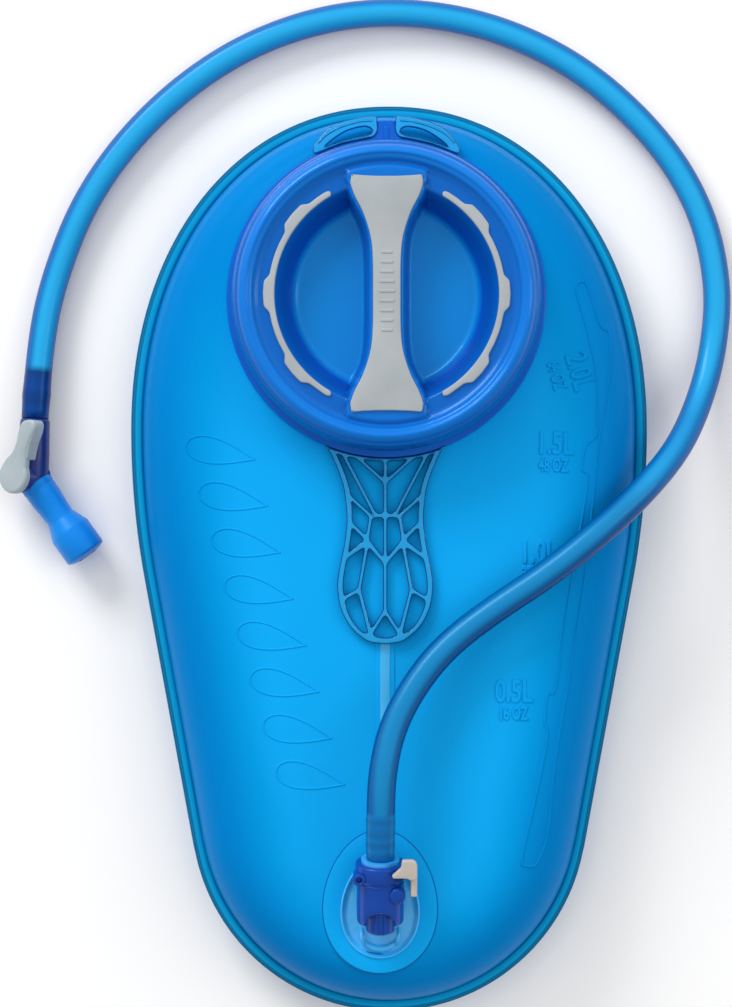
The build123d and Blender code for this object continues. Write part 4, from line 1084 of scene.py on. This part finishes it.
def make_dish():
    rings = []
    for grow, z in ((1.5, 38.35), (1.5, 38.8), (1.2, 39.05), (0.7, 39.15), (0.2, 39.1), (-0.4, 38.7), (-1.2, 38.1),
                    (-2.2, 37.75), (-4.0, 37.6), (-14.0, 37.6), (-24.0, 37.6), (-24.0, 35.0), (-2.0, 35.0),
                    (0.0, 35.6), (0.0, 38.2)):
        rings.append(np.column_stack([egg(DISH_WIDTH + grow, DISH_LENGTH + grow, DISH_Y, 96), np.full(96, z)]))
    rings = np.array(rings)
    shapes = [shape_of(rings, True)]
    for side in (-1, 1):
        post = np.array([(OUTLET_X + side * 6.4, -131.5, 36.0), (OUTLET_X + side * 6.6, -132.6, 40.6),
                         (OUTLET_X + side * 6.4, -134.8, 41.0), (OUTLET_X + side * 5.8, -137.2, 38.0),
                         (OUTLET_X + side * 5.6, -137.6, 36.0)])
        shapes.append(bead(smooth_curve(post), 0.75, 14))
    sweep = np.radians(np.arange(202, 339, 8))
    crescent = np.column_stack([OUTLET_X + 7.6 * np.cos(sweep), -131.2 + 7.6 * np.sin(sweep),
                                np.full(len(sweep), 38.0)])
    shapes.append(bead(crescent, 1.3 * np.sin(np.linspace(0.25, pi - 0.25, len(sweep))), 16))
    dish = mesh_object("outlet_dish", *shapes)
    own(dish, "reservoir", "clear_plastic", DISH_BLUE, "outlet_port")
    patch = mesh_object("outlet_patch_film", plate([egg(40.6, 51.0, PATCH_Y, 160), egg(DISH_WIDTH + 1, DISH_LENGTH + 1,
                                                                                       DISH_Y, 120)], 37.9, 38.4, 0.3))
    own(patch, "reservoir", "film", blue_film, "outlet_patch")
    seam = np.column_stack([egg(40.9, 51.3, PATCH_Y, 200), np.full(200, 38.02)])
    line = mesh_object("patch_weld_line", shape_of(tube_rings(np.vstack([seam, seam[:1]]), 0.22, 8), False))
    own(line, "reservoir", "film", DEEP_FILM)


SKIRT_END = -22.0
ARCH_R = 5.6
HOUSING_SIDES = 160
NOSE_PROFILE = ((4.0, -24.0), (4.0, -13.0), (4.6, -12.1), (7.2, -12.0), (5.6, -12.6), (5.2, -13.2), (5.2, -24.8),
                (5.0, -25.6), (4.4, -26.0), (2.0, -26.0))


def make_housing():
    turns = 2 * pi * np.arange(HOUSING_SIDES) / HOUSING_SIDES
    across, up = np.cos(turns), np.sin(turns)
    reach = 8.3 * across
    arch = np.sqrt(np.clip(ARCH_R**2 - reach**2, 0, None)) * (up > 0)
    edge = SKIRT_END + arch
    ring = lambda r, z: np.column_stack([r * across, r * up, np.broadcast_to(z, HOUSING_SIDES)])
    rings = [ring(r, z) for r, z in ((4.9, -11.4), (5.3, -11.0), (5.3, -0.9), (5.9, -0.2), (6.9, 0.0), (8.1, 0.0),
                                     (8.6, -0.25), (8.8, -0.8), (8.8, -5.2), (8.7, -5.7), (8.35, -6.1), (8.3, -6.5))]
    rings += [ring(8.3, -6.5 + (edge + 7.0) * t) for t in (0.15, 0.3, 0.45, 0.6, 0.75, 0.9, 1.0)]
    rings += [ring(8.15, edge + 0.12), ring(7.8, edge), ring(7.3, edge + 0.05), ring(7.05, edge + 0.3)]
    rings += [ring(7.0, edge + (-12.2 - edge) * t) for t in (0.3, 0.6, 0.9)]
    body = shape_of(np.array(rings), True)
    nose = loft(np.array([ring(r, z) for r, z in NOSE_PROFILE]))
    shapes = [in_outlet(body), in_outlet(nose)]
    for x in (-1.7, 1.3):
        rib = np.array([(x, 5.05, z) for z in (-13.0, -15.0, -18.0, -21.0, -24.0, -25.3)])
        shapes.append(in_outlet(bead(rib, np.array([0.5, 0.55, 0.55, 0.55, 0.5, 0.3]), 12)))
    cheek = lathe(((2.85, 4.0), (2.85, 7.5), (2.7, 7.95), (2.3, 8.2), (0.3, 8.25)), 48)
    lug = lathe(((2.2, 0.0), (2.2, 6.9), (2.0, 7.3), (1.6, 7.4), (1.2, 7.3), (1.05, 7.0), (1.0, 5.6), (0.2, 5.5)), 40)
    shapes += [in_outlet(upright(cheek, -5.9, -10.2)), in_outlet(upright(lug, 7.4, -4.4))]
    stub = lathe(((3.2, 33.5), (3.2, 46.0)), 40)
    shapes.append((stub[0] + np.array([OUTLET_X, -124.5, 0]), stub[1]))
    rail = np.array([(x, 8.25 * sin(radians(a)), -6.9) for a, x in
                     ((a, 8.25 * cos(radians(a))) for a in range(15, 166, 6))])
    shapes.append(in_outlet(bead(rail, 0.28, 8)))
    housing = mesh_object("coupling_body", *shapes)
    crisp(housing, 50)
    own(housing, "reservoir", "navy_plastic", COUPLING_BLUE, "coupling_housing")


def on_top(loop, low, high, bevel):
    """A plate that lies over the coupling: its outline's x runs to +X and its y towards the tube."""
    points, faces = plate([loop], low, high, bevel, 4)
    return in_outlet((np.column_stack([-points[:, 0], points[:, 2], points[:, 1]]), faces))


def make_button():
    arm = spaced(rounded(((4.0, -1.6), (7.2, 1.4), (7.5, 4.2), (11.6, 4.2), (12.8, 2.6), (12.8, -2.6), (10.4, -3.2),
                          (9.4, -2.4), (4.4, -2.4)), 0.7), 0.3)
    leg = spaced(rounded(((10.6, -9.6), (12.8, -9.6), (12.8, 0.8), (10.6, 0.8)), 0.7), 0.3)
    plunger = lathe(((1.9, 7.8), (1.9, 11.2)), 32)
    points = plunger[0]
    pad = rounded(((11.95, -8.6), (12.8, -8.6), (12.8, -1.0), (11.95, -1.0)), 0.3)
    shapes = [on_top(arm, 8.9, 10.75, 0.4), on_top(leg, 3.1, 9.6, 0.5), on_top(pad, -3.4, 4.0, 0.2),
              in_outlet((np.column_stack([-points[:, 2], points[:, 0], points[:, 1] - 4.0]), plunger[1]))]
    button = mesh_object("button_cover", *shapes)
    own(button, "button", "grey_plastic", BUTTON_GREY, "release_button")


DEEP_FILM = moulded("deep_film", srgb(0, 92, 164), srgb(0, 104, 176), 0.4, Specular_IOR_Level=0.1)
BRIGHT_FILM = moulded("bright_film", srgb(50, 176, 236), srgb(70, 190, 244), 0.3)
make_dish()
make_housing()
make_button()

# ---------------------------------------------------------------- the mouthpiece
MOUTH = (-131.9, 29.7, 8.0)
LEAN, ROLL, ELBOW = radians(3), radians(42), radians(35.6)
TUBE_WARD = Vector((sin(LEAN), cos(LEAN), 0))
SIDE_WARD = Vector((cos(LEAN), -sin(LEAN), 0))
PIVOT = SIDE_WARD * -sin(ROLL) + Vector((0, 0, cos(ROLL)))
LEVER_X = SIDE_WARD * cos(ROLL) + Vector((0, 0, sin(ROLL)))
BITE = Vector((sin(ELBOW), -cos(ELBOW), 0))
UP = Vector((0, 0, 1))

BODY_PROFILE = ((0.5, -6.0), (3.4, -5.7), (5.2, -4.2), (6.0, -1.5), (6.05, 2.0), (5.95, 8.0), (5.7, 14.0),
                (5.45, 20.8), (5.2, 21.6), (4.6, 22.0), (3.2, 22.1), (3.2, 24.8), (3.6, 24.9), (3.3, 26.3),
                (3.2, 28.8), (3.6, 28.9), (3.3, 30.3), (3.2, 32.8), (3.6, 32.9), (3.3, 34.3), (2.6, 35.0), (0.4, 35.0))
BITE_PROFILE = ((5.5, 2.2), (5.9, 2.3), (6.1, 2.7), (6.1, 4.6), (5.85, 4.9), (5.85, 5.2), (6.0, 5.5), (5.9, 9.4),
                (5.5, 14.0), (5.3, 18.2), (5.6, 18.9), (7.5, 23.5), (7.8, 24.2), (7.8, 33.3), (7.6, 34.1),
                (6.4, 34.7), (4.4, 35.2), (1.4, 35.35), (0.3, 34.6))
SPIGOT_PROFILE = ((0.4, 0.0), (5.2, 0.0), (5.4, 1.0), (5.4, 6.2), (5.0, 6.6), (3.3, 6.7), (3.3, 17.6), (2.9, 18.0),
                  (0.4, 18.0))
LEVER_LOOP = ((6.9, 5.2), (7.2, 9.2), (8.8, 13.8), (10.6, 17.2), (10.8, 19.6), (9.6, 21.0), (6.6, 21.1), (4.2, 20.4),
              (2.4, 17.8), (1.2, 12.8), (-0.8, 9.2), (-3.8, 6.9))
LEVER_FLANGE = ((7.0, 6.6), (8.3, 11.8), (10.4, 16.6), (10.9, 19.4), (10.0, 20.8), (8.7, 20.9), (8.4, 17.8),
                (6.6, 12.6), (5.8, 8.0))


def make_mouthpiece():
    body = mesh_object("valve_body_skin", placed(lathe(BODY_PROFILE, 72), MOUTH, SIDE_WARD, TUBE_WARD),
                       placed(lathe(SPIGOT_PROFILE, 64), MOUTH, UP, BITE),
                       placed(lathe(((5.6, -4.2), (5.6, 6.6), (5.2, 7.1), (4.4, 7.2), (3.9, 7.0), (0.4, 7.0)), 64),
                              MOUTH, LEVER_X, PIVOT))
    crisp(body, 50)
    own(body, "drink_line", "navy_plastic", NAVY, "valve_body")
    rim = np.radians(np.arange(134, 387, 6))
    disc = np.column_stack([7.6 * np.cos(rim), 6.6 * np.sin(rim) + 0.5])
    arm = smooth_curve(LEVER_LOOP)
    loop = spaced(np.vstack([disc, arm]), 0.5)
    flange = spaced(smooth_curve(LEVER_FLANGE, True), 0.5)
    lever = mesh_object("lever_cover", placed(plate([turned(loop)], 7.3, 9.95, 1.15, 6), MOUTH, LEVER_X, PIVOT),
                        placed(plate([turned(flange)], 4.4, 9.3, 0.6, 4, under=0.6), MOUTH, LEVER_X, PIVOT))
    own(lever, "lever", "grey_plastic", LEVER_GREY, "shutoff_lever")
    slit = plate([rounded(((-3.6, -0.35), (3.6, -0.35), (3.6, 0.35), (-3.6, 0.35)), 0.3)], 34.9, 35.45, 0.1)
    bite = mesh_object("bite_valve_skin", placed(lathe(BITE_PROFILE, 96), MOUTH, UP, BITE))
    own(bite, "bite", "silicone", BITE_BLUE, "bite_valve")
    mark = mesh_object("bite_slit", placed(slit, MOUTH, BITE.cross(UP), BITE))
    own(mark, "bite", "silicone", NAVY)
    return body, lever, bite, mark


mouthpiece = make_mouthpiece()

# ---------------------------------------------------------------- raised marks on the film
film_mesh = bpy.data.objects["front_film"].data
film_tree = BVHTree.FromPolygons([v.co / MM for v in film_mesh.vertices], [p.vertices for p in film_mesh.polygons])
SKY = 80.0


def film_height(x, y):
    """The front film's height at each place, looking straight down."""
    hits = [film_tree.ray_cast(Vector((a, b, SKY)), Vector((0, 0, -1)))[0] for a, b in zip(x, y)]
    return np.array([hit.z if hit else RIM_Z for hit in hits])


GAUGE = ((68.9, 99.9), (66.7, 97.0), (70.7, 82.4), (74.2, 65.3), (74.2, 50.0), (73.9, 44.6), (70.0, 40.7), (68.9, 32.1),
         (70.7, 27.5), (64.3, -11.8), (59.3, -45.0), (56.4, -47.9), (55.4, -57.9), (56.4, -62.9), (53.2, -80.0),
         (47.3, -106.1), (48.6, -109.3), (51.4, -109.6), (53.2, -107.8), (56.7, -97.9), (59.3, -71.9), (64.3, -41.8),
         (70.4, -1.8), (75.0, 42.8), (78.5, 63.2), (79.2, 81.0), (75.7, 84.3), (71.0, 98.2))


def on_film(shape, sink=0.0):
    """A flat shape laid on the film, its heights counted from it."""
    points = np.asarray(shape[0], float).copy()
    points[:, 2] += film_height(points[:, 0], points[:, 1]) - sink
    return points, shape[1]


def raised_line(points, width, closed=False):
    line = spaced(smooth_curve(points, closed), 1.2, closed)
    line = np.column_stack([line, film_height(line[:, 0], line[:, 1]) - 0.1])
    if closed:
        return shape_of(tube_rings(np.vstack([line, line[:1]]), width / 2, 8), False)
    return bead(line, width / 2, 8)


def marks_text(words, place, size, narrow, turn):
    """Numbers and units as a low raised mesh, narrowed and turned about their middle."""
    curve = bpy.data.curves.new("mark", "FONT")
    curve.body = words
    curve.size = size
    curve.align_x = "CENTER"
    curve.align_y = "CENTER"
    curve.extrude = 0.2
    curve.bevel_depth = 0.16
    curve.offset = 0.1
    curve.resolution_u = 3
    points, faces = curve_mesh(curve)
    points = points * (narrow, 1, 1)
    c, s = cos(turn), sin(turn)
    flat = np.column_stack([points[:, 0] * c - points[:, 1] * s + place[0],
                            points[:, 0] * s + points[:, 1] * c + place[1], points[:, 2] + 0.12])
    return flat, faces


VOLUME_MARKS = (("2.0L", (67.9, 67.7), "64 OZ", (59.6, 66.1), -74), ("1.5L", (59.0, 41.4), "48 OZ", (58.5, 33.8), -1),
                ("1.0L", (53.0, 2.6), "32 OZ", (52.4, -4.9), 0), ("0.5L", (44.3, -47.1), "16 OZ", (44.0, -54.8), 0))
BIG, SMALL = (11.2, 0.7), (6.6, 0.58)
DROPS = 8
FIRST_DROP = (-62.0, 39.0)
DROP_STEP = (4.6, -16.6)
DROP_TILT = -12
WELD_BOTTOM_Y, WELD_TOP_Y = -108, -28.6


def weld_strip(half):
    """The middle weld's outline, at half its width."""
    corners = np.array([(-half, WELD_BOTTOM_Y), (half, WELD_BOTTOM_Y), (half, WELD_TOP_Y), (-half, WELD_TOP_Y)])
    return spaced(rounded(corners + (HANDLE_X, 0), 0.5), 2.0)


def make_marks():
    outline = raised_line(GAUGE, 0.9, True)
    words = []
    for big, big_place, small, small_place, turn in VOLUME_MARKS:
        words.append(on_film(marks_text(big, big_place, *BIG, radians(turn))))
        words.append(on_film(marks_text(small, small_place, *SMALL, radians(turn))))
    gauge = mesh_object("volume_gauge", outline, *words)
    edge_tone_and_shade_attribute(gauge)
    own(gauge, "reservoir", "film", blue_film)
    drops = []
    for row in range(DROPS):
        x, y = np.array(FIRST_DROP) + row * np.array(DROP_STEP)
        angles = np.linspace(0, 2 * pi, 60, endpoint=False)
        shape = np.column_stack([12.5 * np.cos(angles) + 1.5, 6.3 * np.sin(angles) * np.sin(angles / 2) ** 1.2])
        tilt = radians(DROP_TILT)
        spun = shape @ np.array([[cos(tilt), sin(tilt)], [-sin(tilt), cos(tilt)]])
        drops.append(raised_line(spun + (x, y), 0.8, True))
    column = mesh_object("drop_column", *drops)
    edge_tone_and_shade_attribute(column)
    own(column, "reservoir", "film", blue_film)
    weld = mesh_object("centre_weld", on_film(plate([weld_strip(3.4)], -0.1, 0.3, 0.15)))
    own(weld, "reservoir", "film", blue_film)
    bright = mesh_object("centre_weld_ridge", on_film(plate([weld_strip(1.75)], 0.2, 0.55, 0.2)))
    own(bright, "reservoir", "film", BRIGHT_FILM)


make_marks()

# ---------------------------------------------------------------- pieces that stay as modelled
for name, material in (("cap_inner_plate", CAP_BLUE), ("cap_seal", SEAL_RUBBER), ("button_spring", SPRING_STEEL),
                       ("poppet_spring", SPRING_STEEL), ("shutoff_poppet", NAVY), ("fitting_o_ring", SEAL_RUBBER),
                       ("tube_fitting", FITTING_BLUE), ("shutoff_rotor", LEVER_GREY), ("center_baffle", BRIGHT_FILM)):
    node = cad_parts[name]
    node.data.materials.clear()
    node.data.materials.append(material)
